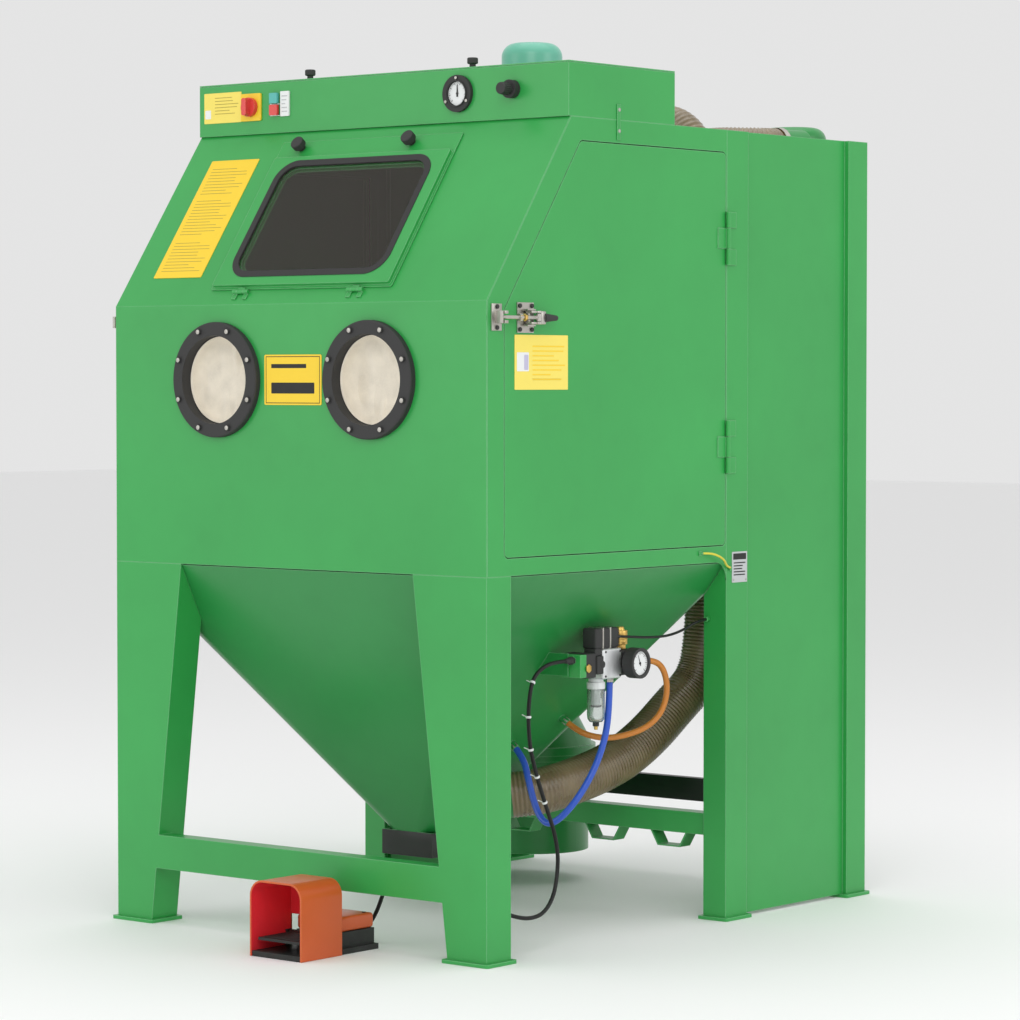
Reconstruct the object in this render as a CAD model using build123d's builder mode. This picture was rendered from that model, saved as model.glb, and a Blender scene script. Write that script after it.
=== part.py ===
from build123d import *

import os
from math import atan2, cos, pi, radians, sin, tan

# Sandblast cabinet: a folded steel chamber on legs over a media hopper, with a rear bay that holds
# the cyclone, the dust filter and its fan, and a foot pedal on a cable.
# Millimetres. +X is the operator's right, +Y points to the back, +Z up. The origin is on the floor,
# at the middle of the four anchor holes.

# ---------------------------------------------------------------- driving dimensions
cabinet_width = 1100.0
cabinet_depth = 1412.0  # front face to the back of the rear corner posts
chamber_depth = 929.0  # front face to the back of the chamber
body_height = 1796.0
knee_height = 1398.0  # where the front sheet folds back
slope_depth = 280.0  # how far back the slanted face reaches at the roof
apron_bottom = 819.0
sheet = 3.0
foot_thickness = 8.0

leg_top_width = 205.0
leg_foot_width = 109.0
leg_depth = 80.0
rail_bottom = 126.0
rail_height = 76.0
rail_depth = 40.0

door_strip = 57.0  # frame left in front of the door, square to the front sheet
door_top = 1746.0
door_bottom = 856.0
door_gap = 2.0
door_thickness = 36.0
door_skin = 2.0
door_corner = 14.0
door_flange = 25.0
seal_land = 22.0
seal_thickness = 5.6
hinge_pin_radius = 3.0
hinge_knuckle_radius = 5.6
hinge_height = 120.0
hinge_levels = (1080.0, 1551.0)
running_clearance = 0.06

post_width = 63.0
post_depth = 82.0
panel_recess = 12.0
corner_post_depth = 78.0

top_box_front = 274.0
top_box_back = 650.0
top_box_height = 119.0
top_box_wall = 2.5
lid_thickness = 3.0

port_spacing = 452.0
port_height = 1232.0
ring_outer_radius = 128.0
ring_bore_radius = 98.0
tunnel_wall = 3.5
ring_thickness = 16.0
ring_screws = 8

glass_half_width = 222.0
glass_low = 77.0  # along the slope from the knee
glass_high = 382.0
glass_thickness = 6.0
glass_corner = 46.0
flap_half_width = 268.0
flap_low = 39.0
flap_high = 455.0
flap_plate = 3.0
flap_pan = 8.5
flap_gap = 0.5

hopper_top = 817.0
hopper_bottom = 208.0
hopper_outlet = 148.0
outlet_depth_back = 450.0  # outlet centre behind the front face
outlet_box_height = 56.0

hose_diameter = 106.0
spigot_radius = 51.0
spigot_wall = 3.0
cyclone_x = -250.0
cyclone_depth = 1130.0  # cyclone, fan and drum share this axis, behind the front face
cyclone_radius = 165.0
cyclone_shoulder = 1100.0
cyclone_top = 1642.0
cyclone_neck = 75.0
neck_height = 480.0
shell_wall = 2.5
drum_radius = 140.0
drum_bottom = 75.0
drum_top = 314.5
drum_gap = 0.5
fan_radius = 140.0
fan_height = 148.0
motor_radius = 75.0
motor_top = 2058.0
filter_x = 410.0
filter_depth = 1302.0
filter_radius = 80.0
filter_bottom = 900.0
filter_top = 1830.0
filter_edge = 30.0

pedal_x = 130.0
pedal_front = -198.0  # behind the front face, so the pedal stands ahead of the cabinet
pedal_back = 52.0
pedal_width = 150.0
pedal_hood_height = 165.0
pedal_hood_length = 128.0
pedal_hood_wall = 4.0

blue_diameter = 15.0
orange_diameter = 14.0
cable_diameter = 9.0
control_diameter = 6.0
earth_diameter = 5.0

anchor_x = 505.0
anchor_inset = 50.0  # anchor holes from the front face and from the back of the corner posts
anchor_radius = 7.0

# hoses and cables: diameter, then (x, depth behind the front face, z) of each turn
routes = {
    "reclaim_hose": (
        hose_diameter,
        [
            (205, 500, 294), (236, 526, 298), (258, 566, 305), (272, 620, 315), (288, 710, 335),
            (298, 800, 365), (308, 885, 412), (322, 960, 475), (345, 1020, 530), (352, 1040, 640),
            (352, 1045, 800), (348, 1040, 960), (345, 1032, 1120), (348, 1024, 1280), (349, 1012, 1440),
            (350, 1002, 1560), (353, 993, 1650), (357, 988, 1728), (350, 986, 1764), (329, 985, 1795),
            (298, 985, 1816), (262, 986, 1823), (214, 988, 1816), (160, 992, 1800), (98, 997, 1774),
            (40, 1002, 1735), (-10, 1010, 1680),
        ],
    ),
    "duct_hose": (
        hose_diameter,
        [
            (-108, 1223, 1716), (-40, 1232, 1720), (30, 1240, 1729), (92, 1228, 1742), (142, 1192, 1754),
            (190, 1150, 1763), (240, 1120, 1768), (295, 1105, 1771), (338, 1103, 1772), (376, 1113, 1772),
            (409, 1136, 1771), (433, 1168, 1770), (445, 1205, 1770),
        ],
    ),
    "blue_hose": (
        blue_diameter,
        [
            (466, 525, 562), (466, 523, 500), (463, 514, 440), (455, 495, 385), (443, 470, 335),
            (425, 445, 292), (400, 428, 260), (372, 424, 247), (345, 428, 262), (320, 436, 298),
            (298, 446, 342), (275, 458, 384), (250, 462, 404),
        ],
    ),
    "orange_hose": (
        orange_diameter,
        [
            (466, 652, 603), (464, 692, 600), (460, 728, 582), (454, 752, 548), (446, 760, 508),
            (436, 748, 470), (420, 718, 443), (396, 676, 428), (368, 640, 422), (338, 615, 428),
            (312, 603, 440), (290, 598, 455),
        ],
    ),
    "pedal_cable": (
        cable_diameter,
        [
            (130, 57, 30), (131, 80, 32), (138, 98, 46), (152, 104, 74), (172, 96, 106), (198, 80, 132),
            (232, 66, 148), (275, 58, 155), (320, 56, 157), (365, 62, 152), (400, 80, 142),
            (436, 104, 122), (464, 134, 100), (480, 172, 82), (488, 218, 72), (487, 268, 78),
            (478, 312, 108), (468, 338, 152), (467, 342, 200), (466, 330, 248), (466, 308, 292),
            (466, 285, 340), (467, 262, 390), (466, 246, 440), (466, 240, 495), (467, 242, 545),
            (466, 256, 588), (467, 288, 610), (466, 328, 618), (466, 367, 618),
        ],
    ),
    "control_cable": (
        control_diameter,
        [
            (486, 536, 664), (491, 566, 662), (490, 612, 658), (486, 665, 655), (485, 720, 656),
            (487, 770, 666), (496, 808, 684), (499, 838, 687),
        ],
    ),
    "earth_wire": (
        earth_diameter,
        [
            (554, 752, 842), (558, 768, 842), (564, 785, 839), (568, 802, 832), (566, 818, 824),
            (560, 832, 815), (556, 844, 809), (554, 856, 806),
        ],
    ),
}

# ---------------------------------------------------------------- derived places
half = cabinet_width / 2
slope_angle = atan2(slope_depth, body_height - knee_height)
inner_knee = knee_height - sheet * tan(slope_angle / 2)
inner_slope_top = slope_depth + sheet / cos(slope_angle)


def back(distance):
    """Y of a place that is a distance behind the front face."""
    return distance - cabinet_depth / 2


def facing_front(distance):
    """Plane that faces the operator, a distance behind the front face."""
    return Plane.XZ.offset(-back(distance))


def route_points(name):
    """Turning points of a hose or cable."""
    return [Vector(x, back(depth), z) for x, depth, z in routes[name][1]]


def hose_end(name, last=False):
    """End of a hose or cable, and the direction that leads from it into its fitting."""
    points = route_points(name)
    if last:
        points.reverse()
    return points[0], points[0] - points[1]


def stub(end, heading, radius, length, mode=Mode.ADD):
    """Round stub that starts at a point and runs along a heading; used inside a part."""
    with BuildSketch(Plane(origin=end, z_dir=heading)) as disc:
        Circle(radius)
    extrude(disc.sketch, amount=length, mode=mode)


def slope_plane(rise):
    """Plane on the slanted face, raised from it; its Y runs up the slope from the knee."""
    outward = Vector(0, -cos(slope_angle), sin(slope_angle))
    return Plane(origin=Vector(0, back(0), knee_height) + outward * rise, x_dir=(1, 0, 0), z_dir=outward)


def finish(builder, name):
    """Labels a finished piece and writes its STEP file."""
    builder.part.label = name
    export_step(builder.part, f"parts/{name}.step")


def span(low, high):
    """Centre and length of an interval."""
    return (low + high) / 2, high - low


def block(x, y, z, mode=Mode.ADD):
    """Box between limits on each axis, for use inside a part."""
    (cx, lx), (cy, ly), (cz, lz) = span(*x), span(*y), span(*z)
    with Locations((cx, cy, cz)):
        Box(lx, ly, lz, mode=mode)


os.makedirs("parts", exist_ok=True)

# ---------------------------------------------------------------- front sheet: apron, knee and slanted face
port_places = [(-port_spacing / 2, port_height), (port_spacing / 2, port_height)]
tunnel_radius = ring_bore_radius + tunnel_wall
window_edge = 14.0  # how far the sheet's opening sits inside the glass

with BuildPart() as front_panel:
    with BuildSketch(Plane.YZ.offset(-half)):
        with BuildLine():
            Polyline(
                (back(0), apron_bottom),
                (back(0), knee_height),
                (back(slope_depth), body_height),
                (back(inner_slope_top), body_height),
                (back(sheet), inner_knee),
                (back(sheet), apron_bottom),
                close=True,
            )
        make_face()
    extrude(amount=cabinet_width)
    with BuildSketch(facing_front(0)):
        with Locations(*port_places):
            Circle(tunnel_radius + 0.5)
    extrude(amount=-2 * sheet, mode=Mode.SUBTRACT)
    with BuildSketch(slope_plane(1)):
        with Locations((0, (glass_low + glass_high) / 2)):
            RectangleRounded(
                2 * (glass_half_width - window_edge),
                glass_high - glass_low - 2 * window_edge,
                glass_corner - window_edge,
            )
    extrude(amount=-2 * sheet - 1, mode=Mode.SUBTRACT)
finish(front_panel, "front_panel")

# ---------------------------------------------------------------- hopper outline
hopper_clearance = 1.0
hopper_centre = back(chamber_depth / 2)
outlet_y = back(outlet_depth_back)


def funnel(inset):
    """Solid inside of the hopper's sheet, moved inward by inset."""
    with BuildPart() as body:
        with BuildSketch(Plane.XY.offset(hopper_bottom)):
            with Locations((0, outlet_y)):
                RectangleRounded(hopper_outlet - 2 * inset, hopper_outlet - 2 * inset, 50 - inset)
        with BuildSketch(Plane.XY.offset(hopper_top)):
            with Locations((0, hopper_centre)):
                RectangleRounded(
                    cabinet_width - 2 * sheet - 4 - 2 * inset,
                    chamber_depth - 2 * sheet - 2 - 2 * inset,
                    36 - inset,
                )
        loft(ruled=True)
    return body.part


outer_funnel = funnel(0)
inner_funnel = funnel(sheet)
funnel_space = funnel(-hopper_clearance)

# ---------------------------------------------------------------- front legs and the rail between them
leg_lean = (leg_top_width - leg_foot_width) / (apron_bottom - foot_thickness)


def leg_inner_x(z):
    """Inner edge of the leg's front face at a height."""
    return half - leg_foot_width - (z - foot_thickness) * leg_lean


leg_wall = sheet / cos(atan2(leg_lean, 1))
rail_top = rail_bottom + rail_height

with BuildPart() as front_frame:
    for side in (1, -1):
        with BuildSketch(facing_front(0)):
            with BuildLine():
                Polyline(
                    (side * leg_inner_x(foot_thickness), foot_thickness),
                    (side * half, foot_thickness),
                    (side * half, apron_bottom),
                    (side * leg_inner_x(apron_bottom), apron_bottom),
                    close=True,
                )
            make_face()
        extrude(amount=-leg_depth)
        with BuildSketch(facing_front(sheet)):
            with BuildLine():
                Polyline(
                    (side * (leg_inner_x(foot_thickness) + leg_wall), foot_thickness),
                    (side * (half - sheet), foot_thickness),
                    (side * (half - sheet), apron_bottom),
                    (side * (leg_inner_x(apron_bottom) + leg_wall), apron_bottom),
                    close=True,
                )
            make_face()
        extrude(amount=-leg_depth, mode=Mode.SUBTRACT)
    with BuildSketch(facing_front(0)):
        with BuildLine():
            Polyline(
                (-leg_inner_x(rail_bottom) - 1, rail_bottom),
                (leg_inner_x(rail_bottom) + 1, rail_bottom),
                (leg_inner_x(rail_top) + 1, rail_top),
                (-leg_inner_x(rail_top) - 1, rail_top),
                close=True,
            )
        make_face()
    extrude(amount=-rail_depth)
    block(
        (-leg_inner_x(rail_top) + 6, leg_inner_x(rail_top) - 6),
        (back(sheet), back(rail_depth - sheet)),
        (rail_bottom + sheet, rail_top - sheet),
        mode=Mode.SUBTRACT,
    )
    add(funnel_space, mode=Mode.SUBTRACT)
finish(front_frame, "front_frame")

# ---------------------------------------------------------------- side frames around the doors
door_back = chamber_depth - post_depth - sheet
door_knee = knee_height - door_strip * tan(slope_angle / 2)
door_slope_top = (door_top - knee_height) * tan(slope_angle) + door_strip / cos(slope_angle)
post_front = chamber_depth - post_depth
gusset = 40.0


def door_outline(inset):
    """Outline of the door opening in (Y, Z), drawn on XY and moved inward by inset."""
    with BuildSketch() as outline:
        with BuildLine():
            Polyline(
                (back(door_strip), door_bottom),
                (back(door_strip), door_knee),
                (back(door_slope_top), door_top),
                (back(door_back), door_top),
                (back(door_back), door_bottom),
                close=True,
            )
        make_face()
        fillet(outline.vertices(), door_corner)
        if inset:
            offset(amount=-inset, mode=Mode.REPLACE)
    return outline.sketch


land_x = half - door_thickness - seal_thickness - 0.4
with BuildPart() as side_frame_right:
    with BuildSketch(Plane.YZ.offset(half - sheet)):
        with BuildLine():
            Polyline(
                (back(sheet), apron_bottom),
                (back(sheet), inner_knee),
                (back(inner_slope_top), body_height),
                (back(post_front), body_height),
                (back(post_front), apron_bottom),
                close=True,
            )
        make_face()
        add(door_outline(0), mode=Mode.SUBTRACT)
        with BuildLine():
            corner_y = back(post_front)
            Line((corner_y - gusset, apron_bottom), (corner_y, apron_bottom))
            Line((corner_y, apron_bottom), (corner_y, apron_bottom - gusset))
            CenterArc((corner_y - gusset, apron_bottom - gusset), gusset, 0, 90)
        make_face()
    extrude(amount=sheet)
    with BuildSketch(Plane.YZ.offset(land_x - sheet)):
        add(door_outline(-sheet))
        add(door_outline(0), mode=Mode.SUBTRACT)
    extrude(amount=half - land_x + sheet)
    with BuildSketch(Plane.YZ.offset(land_x - sheet)):
        add(door_outline(0))
        add(door_outline(seal_land), mode=Mode.SUBTRACT)
    extrude(amount=sheet)
finish(side_frame_right, "side_frame_right")

with BuildPart() as side_frame_left:
    mirror(side_frame_right.part, about=Plane.YZ)
finish(side_frame_left, "side_frame_left")

with BuildPart() as door_seals:
    for side in (1, -1):
        with BuildSketch(Plane.YZ.offset(side * (land_x + seal_thickness / 2))):
            add(door_outline(door_gap + 3))
            add(door_outline(seal_land - 2), mode=Mode.SUBTRACT)
        extrude(amount=seal_thickness / 2, both=True)
finish(door_seals, "door_seals")

# ---------------------------------------------------------------- roof and rear wall of the chamber
lamp_width = 600.0
lamp_front = 400.0
lamp_back = 540.0
step_x = half - panel_recess - sheet

with BuildPart() as chamber_back:
    block(
        (-half + sheet, half - sheet),
        (back(inner_slope_top), back(chamber_depth - sheet)),
        (body_height - sheet, body_height),
    )
    block(
        (-step_x, step_x),
        (back(chamber_depth - sheet), back(chamber_depth)),
        (apron_bottom, body_height),
    )
    block(
        (-lamp_width / 2, lamp_width / 2),
        (back(lamp_front), back(lamp_back)),
        (body_height - 2 * sheet, body_height + sheet),
        mode=Mode.SUBTRACT,
    )
finish(chamber_back, "chamber_back")

# ---------------------------------------------------------------- hopper, its outlet box and its stubs
bracket_x = (300.0, 456.0)
bracket_z = (583.0, 633.0)
bracket_depth = 390.0
nipple_radius = 9.0
nipple_length = 42.0
reclaim_reach = 140.0

with BuildPart() as hopper:
    add(outer_funnel)
    stub(*hose_end("reclaim_hose"), spigot_radius, reclaim_reach)
    for hose in ("blue_hose", "orange_hose"):
        stub(*hose_end(hose, last=True), nipple_radius, nipple_length)
    block(bracket_x, (back(bracket_depth), back(bracket_depth + 4)), bracket_z)
    add(inner_funnel, mode=Mode.SUBTRACT)
    stub(*hose_end("reclaim_hose"), spigot_radius - spigot_wall, reclaim_reach, mode=Mode.SUBTRACT)
    with BuildSketch(Plane.XY.offset(hopper_bottom)):
        with Locations((0, outlet_y)):
            Rectangle(hopper_outlet, hopper_outlet)
    extrude(amount=-outlet_box_height)
    with BuildSketch(Plane.XY.offset(hopper_bottom)):
        with Locations((0, outlet_y)):
            Rectangle(hopper_outlet - 4 * sheet, hopper_outlet - 4 * sheet)
    extrude(amount=-outlet_box_height + sheet, mode=Mode.SUBTRACT)
finish(hopper, "hopper")

grate_bars = 17
grate_ties = 7
with BuildPart() as floor_grate:
    grate_x = half - sheet - 3
    with BuildSketch(Plane.XY.offset(apron_bottom)):
        with Locations((0, hopper_centre)):
            Rectangle(2 * grate_x, chamber_depth - 2 * sheet - 4)
            Rectangle(2 * grate_x - 50, chamber_depth - 2 * sheet - 54, mode=Mode.SUBTRACT)
            with GridLocations(0, 50, 1, grate_bars):
                Rectangle(2 * grate_x - 40, 12)
            with GridLocations(150, 0, grate_ties, 1):
                Rectangle(12, chamber_depth - 2 * sheet - 40)
    extrude(amount=6)
finish(floor_grate, "floor_grate")

# ---------------------------------------------------------------- rear bay: side sheets, beams and feet
bay_end = cabinet_depth
corner_front = cabinet_depth - corner_post_depth
bay_strips = [
    ((half - sheet, half), (post_front, chamber_depth)),
    ((step_x, half), (chamber_depth - sheet, chamber_depth)),
    ((step_x, step_x + sheet), (chamber_depth - sheet, corner_front + sheet)),
    ((step_x, half), (corner_front, corner_front + sheet)),
    ((half - sheet, half), (corner_front, bay_end)),
    ((half - post_width, half), (bay_end - sheet, bay_end)),
]

with BuildPart() as bay_side_right:
    with BuildSketch(Plane.XY.offset(foot_thickness)):
        for x, depth in bay_strips:
            (cx, lx), (cy, ly) = span(*x), span(back(depth[0]), back(depth[1]))
            with Locations((cx, cy)):
                Rectangle(lx, ly)
    extrude(amount=body_height - foot_thickness)
    block(
        (half - post_width, half),
        (back(post_front), back(post_front + sheet)),
        (foot_thickness, apron_bottom),
    )
    add(funnel_space, mode=Mode.SUBTRACT)
finish(bay_side_right, "bay_side_right")

with BuildPart() as bay_side_left:
    mirror(bay_side_right.part, about=Plane.YZ)
finish(bay_side_left, "bay_side_left")

front_beam_depth = 40.0
rear_beam_depth = 24.0
beams = [
    (post_front + 15, front_beam_depth, 190.0, 50.0),
    (cabinet_depth - sheet - rear_beam_depth, rear_beam_depth, 190.0, 56.0),
    (cabinet_depth - sheet - rear_beam_depth, rear_beam_depth, 1700.0, 56.0),
]
hat_places = (-70.0, 183.0, 376.0)
hat_height = 34.0
with BuildPart() as bay_beams:
    for depth, beam_depth, low, height in beams:
        with BuildSketch(Plane.YZ.offset(-half + sheet)):
            with Locations((back(depth + beam_depth / 2), low + height / 2)):
                Rectangle(beam_depth, height)
                Rectangle(beam_depth - 2 * sheet, height - 2 * sheet, mode=Mode.SUBTRACT)
        extrude(amount=cabinet_width - 2 * sheet)
    for hat_x in hat_places:
        with BuildSketch(facing_front(beams[0][0])):
            low = beams[0][2]
            with BuildLine():
                Polyline(
                    (hat_x - 52, low),
                    (hat_x - 32, low - hat_height),
                    (hat_x + 32, low - hat_height),
                    (hat_x + 52, low),
                    close=True,
                )
            make_face()
            with BuildLine():
                Polyline(
                    (hat_x - 48, low),
                    (hat_x - 30, low - hat_height + sheet),
                    (hat_x + 30, low - hat_height + sheet),
                    (hat_x + 48, low),
                    close=True,
                )
            make_face(mode=Mode.SUBTRACT)
        extrude(amount=-front_beam_depth)
finish(bay_beams, "bay_beams")

foot_rim = 10.0
foot_areas = [
    ((leg_inner_x(foot_thickness) - foot_rim, half + foot_rim), (-foot_rim, leg_depth + foot_rim)),
    ((half - post_width - foot_rim, half + foot_rim), (post_front - foot_rim, chamber_depth + foot_rim)),
    ((half - post_width - foot_rim, half + foot_rim), (corner_front - foot_rim, cabinet_depth + foot_rim)),
]
with BuildPart() as foot_plates:
    for side in (1, -1):
        for (x0, x1), (d0, d1) in foot_areas:
            with BuildSketch(Plane.XY):
                with Locations((side * (x0 + x1) / 2, back((d0 + d1) / 2))):
                    RectangleRounded(x1 - x0, d1 - d0, 6)
            extrude(amount=foot_thickness)
    anchor_span = cabinet_depth - 2 * anchor_inset
    with BuildSketch(Plane.XY):
        with GridLocations(2 * anchor_x, anchor_span, 2, 2):
            Circle(anchor_radius)
    extrude(amount=foot_thickness, mode=Mode.SUBTRACT)
finish(foot_plates, "foot_plates")

# ---------------------------------------------------------------- glove ports
screw_circle = (ring_outer_radius + tunnel_radius) / 2
with BuildPart() as glove_rings:
    for place in port_places:
        with BuildSketch(facing_front(0)):
            with Locations(place):
                Circle(ring_outer_radius)
                Circle(ring_bore_radius, mode=Mode.SUBTRACT)
        extrude(amount=ring_thickness)
        with BuildSketch(facing_front(0)):
            with Locations(place):
                Circle(tunnel_radius)
                Circle(ring_bore_radius, mode=Mode.SUBTRACT)
        extrude(amount=-60)
    fillet(glove_rings.edges().filter_by(GeomType.CIRCLE).filter_by(
        lambda e: abs(e.center().Y - back(-ring_thickness)) < 0.1 and e.radius > tunnel_radius), 5)
    for port_x, port_z in port_places:
        with BuildSketch(facing_front(-ring_thickness)):
            with Locations((port_x, port_z)):
                with PolarLocations(screw_circle, ring_screws, start_angle=22.5):
                    Circle(6.5)
        extrude(amount=5)
finish(glove_rings, "glove_rings")

with BuildPart() as gloves:
    for place in port_places:
        with BuildSketch(facing_front(16)):
            with Locations(place):
                Circle(ring_bore_radius - 2)
        extrude(amount=-300, taper=6)
finish(gloves, "gloves")

# ---------------------------------------------------------------- window flap, gasket, glass
seat = 8.0
gasket_edge = 10.0
window_centre = (0, (glass_low + glass_high) / 2)
window_hinges = (-170.0, 170.0)
window_pin_low = 31.0
window_pin_rise = 5.6
window_pin_radius = 2.5
window_knuckle = 4.8


def window_shape(grow):
    """Rounded window outline, larger than the glass by grow on every side; used inside a sketch."""
    with Locations(window_centre):
        RectangleRounded(
            2 * (glass_half_width + grow), glass_high - glass_low + 2 * grow, glass_corner + grow
        )


def cut_window(grow):
    """Same outline, cut from the sketch in hand."""
    with Locations(window_centre):
        RectangleRounded(
            2 * (glass_half_width + grow),
            glass_high - glass_low + 2 * grow,
            glass_corner + grow,
            mode=Mode.SUBTRACT,
        )


def hinge_rod(radius, x_low, x_high, mode=Mode.ADD):
    """Rod on the window hinge axis between two X limits."""
    with BuildSketch(Plane.YZ.offset(x_low)) as rod:
        with Locations((pin_y, pin_z)):
            Circle(radius)
    extrude(rod.sketch, amount=x_high - x_low, mode=mode)


pin_place = slope_plane(window_pin_rise).from_local_coords((0, window_pin_low, 0))
pin_y, pin_z = pin_place.Y, pin_place.Z
pan_high = 404.0
window_knobs_x = (-200.0, 130.0)
window_knob_up = 434.0
window_knob_hole = 4.5

with BuildPart() as window_frame:
    with BuildSketch(slope_plane(flap_gap)):
        with Locations((0, (flap_low + flap_high) / 2)):
            RectangleRounded(2 * flap_half_width, flap_high - flap_low, 5)
        cut_window(-seat)
        with Locations(*[(x, window_knob_up) for x in window_knobs_x]):
            Circle(window_knob_hole, mode=Mode.SUBTRACT)
    extrude(amount=flap_plate)
    with BuildSketch(slope_plane(flap_gap + flap_plate)):
        with Locations((0, (flap_low + 6 + pan_high) / 2)):
            RectangleRounded(2 * flap_half_width - 12, pan_high - flap_low - 6, 5)
        cut_window(gasket_edge)
    extrude(amount=flap_pan)
    for hinge_x in window_hinges:
        hinge_rod(window_knuckle, hinge_x - 9.5, hinge_x + 9.5)
        with BuildSketch(slope_plane(flap_gap)):
            with Locations((hinge_x, 38.5)):
                Rectangle(19, 5)
        extrude(amount=flap_plate + 4)
        hinge_rod(window_pin_radius + running_clearance, hinge_x - 9.5, hinge_x + 9.5, Mode.SUBTRACT)
finish(window_frame, "window_frame")

glass_rise = flap_gap + flap_plate
with BuildPart() as window_glass:
    with BuildSketch(slope_plane(glass_rise)):
        window_shape(0)
    extrude(amount=glass_thickness)
finish(window_glass, "window_glass")

with BuildPart() as window_gasket:
    with BuildSketch(slope_plane(glass_rise)):
        window_shape(gasket_edge)
        cut_window(0)
    extrude(amount=glass_thickness)
    with BuildSketch(slope_plane(glass_rise + glass_thickness)):
        window_shape(gasket_edge)
        cut_window(-6)
    extrude(amount=4)
finish(window_gasket, "window_gasket")

knob_rise = flap_gap + flap_plate + 0.5
for knob_x, knob_name in zip(window_knobs_x, ("window_knob_left", "window_knob_right")):
    with BuildPart() as window_knob:
        with BuildSketch(slope_plane(knob_rise)):
            with Locations((knob_x, window_knob_up)):
                Circle(9)
        extrude(amount=8)
        with BuildSketch(slope_plane(knob_rise + 8)):
            with Locations((knob_x, window_knob_up)):
                Circle(16)
        extrude(amount=17)
        fillet(window_knob.edges().filter_by(GeomType.CIRCLE).filter_by(lambda e: e.radius > 12), 3)
        with BuildSketch(slope_plane(knob_rise)):
            with Locations((knob_x, window_knob_up)):
                Circle(window_knob_hole - running_clearance)
        extrude(amount=-flap_plate - 0.6)
    finish(window_knob, knob_name)

# ---------------------------------------------------------------- doors
hinge_axis_x = half + 6.0
hinge_axis_y = back(door_back + 1)
knuckle_share = 36.0
leaf_thickness = 3.0

with BuildPart() as door_right:
    with BuildSketch(Plane.YZ.offset(half - door_skin)):
        add(door_outline(door_gap))
    extrude(amount=door_skin)
    with BuildSketch(Plane.YZ.offset(half - door_thickness)):
        add(door_outline(door_gap))
        add(door_outline(door_gap + door_skin), mode=Mode.SUBTRACT)
    extrude(amount=door_thickness)
    with BuildSketch(Plane.YZ.offset(half - door_thickness)):
        add(door_outline(door_gap))
        add(door_outline(door_gap + door_flange), mode=Mode.SUBTRACT)
    extrude(amount=door_skin)
    for level in hinge_levels:
        low = level - hinge_height / 2 + knuckle_share + 1
        high = level + hinge_height / 2 - knuckle_share - 1
        with BuildSketch(Plane.XY.offset(low)):
            with Locations((hinge_axis_x, hinge_axis_y)):
                Circle(hinge_knuckle_radius)
        extrude(amount=high - low)
        block((half, half + leaf_thickness), (hinge_axis_y - 34, hinge_axis_y - 3.5), (low, high))
        block((half + 0.4, half + leaf_thickness), (hinge_axis_y - 3.5, hinge_axis_y), (low, high))
        with BuildSketch(Plane.XY.offset(low)):
            with Locations((hinge_axis_x, hinge_axis_y)):
                Circle(hinge_pin_radius + running_clearance)
        extrude(amount=high - low, mode=Mode.SUBTRACT)
finish(door_right, "door_right")

with BuildPart() as door_left:
    mirror(door_right.part, about=Plane.YZ)
finish(door_left, "door_left")

# ---------------------------------------------------------------- toggle latches and their keepers
latch_height = 1363.0
latch_pivot_x = half + 12.0
latch_pivot_back = 125.0
rod_offset = (12.0, 18.0)  # rod pin from the lever's pivot, outward and back
rod_radius = 4.0
keeper_back = (25.0, 35.0)
slot_relief = 6.0
slot_room = 3.0  # above and below the rod
lock_nut_back = 85.0  # stays behind the keeper when the lever lets the rod forward

with BuildPart() as latch_base_right:
    block(
        (half, half + 3),
        (back(98), back(152)),
        (latch_height - 32, latch_height + 32),
    )
    for side in (1, -1):
        ear = sorted((latch_height + side * 15, latch_height + side * 18))
        block((half + 3, latch_pivot_x + 8), (back(112), back(138)), ear)
    with BuildSketch(Plane.XY.offset(latch_height - 18)):
        with Locations((latch_pivot_x, back(latch_pivot_back))):
            Circle(3)
    extrude(amount=36)
finish(latch_base_right, "latch_base_right")

rod_x = latch_pivot_x + rod_offset[0]
rod_back = latch_pivot_back + rod_offset[1]
with BuildPart() as latch_lever_right:
    for side in (1, -1):
        cheek = latch_height + min(side * 9, side * 14.5)
        with BuildSketch(Plane.XY.offset(cheek)):
            with BuildLine():
                Polyline(
                    (latch_pivot_x - 5, back(latch_pivot_back - 5)),
                    (latch_pivot_x + 6, back(latch_pivot_back - 5)),
                    (rod_x + 7, back(rod_back - 6)),
                    (rod_x + 7, back(rod_back + 14)),
                    (rod_x + 2, back(rod_back + 24)),
                    (latch_pivot_x - 4, back(rod_back + 24)),
                    close=True,
                )
            make_face()
        extrude(amount=5.5)
    with BuildSketch(Plane.XY.offset(latch_height - 14.5)):
        with BuildLine():
            Polyline(
                (latch_pivot_x - 4, back(rod_back + 12)),
                (rod_x + 4, back(rod_back + 12)),
                (rod_x + 1, back(213)),
                (latch_pivot_x - 2, back(213)),
                close=True,
            )
        make_face()
    extrude(amount=29)
    fillet(latch_lever_right.edges().filter_by(Axis.Z).group_by(Axis.Y)[-1], 4)
    with BuildSketch(Plane.XY.offset(latch_height - 14.5)):
        with Locations((latch_pivot_x, back(latch_pivot_back))):
            Circle(3 + running_clearance)
    extrude(amount=29, mode=Mode.SUBTRACT)
    with BuildSketch(Plane.XY.offset(latch_height - 14.5)):
        with Locations((rod_x, back(rod_back))):
            Circle(2.5)
    extrude(amount=29)
finish(latch_lever_right, "latch_lever_right")

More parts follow.
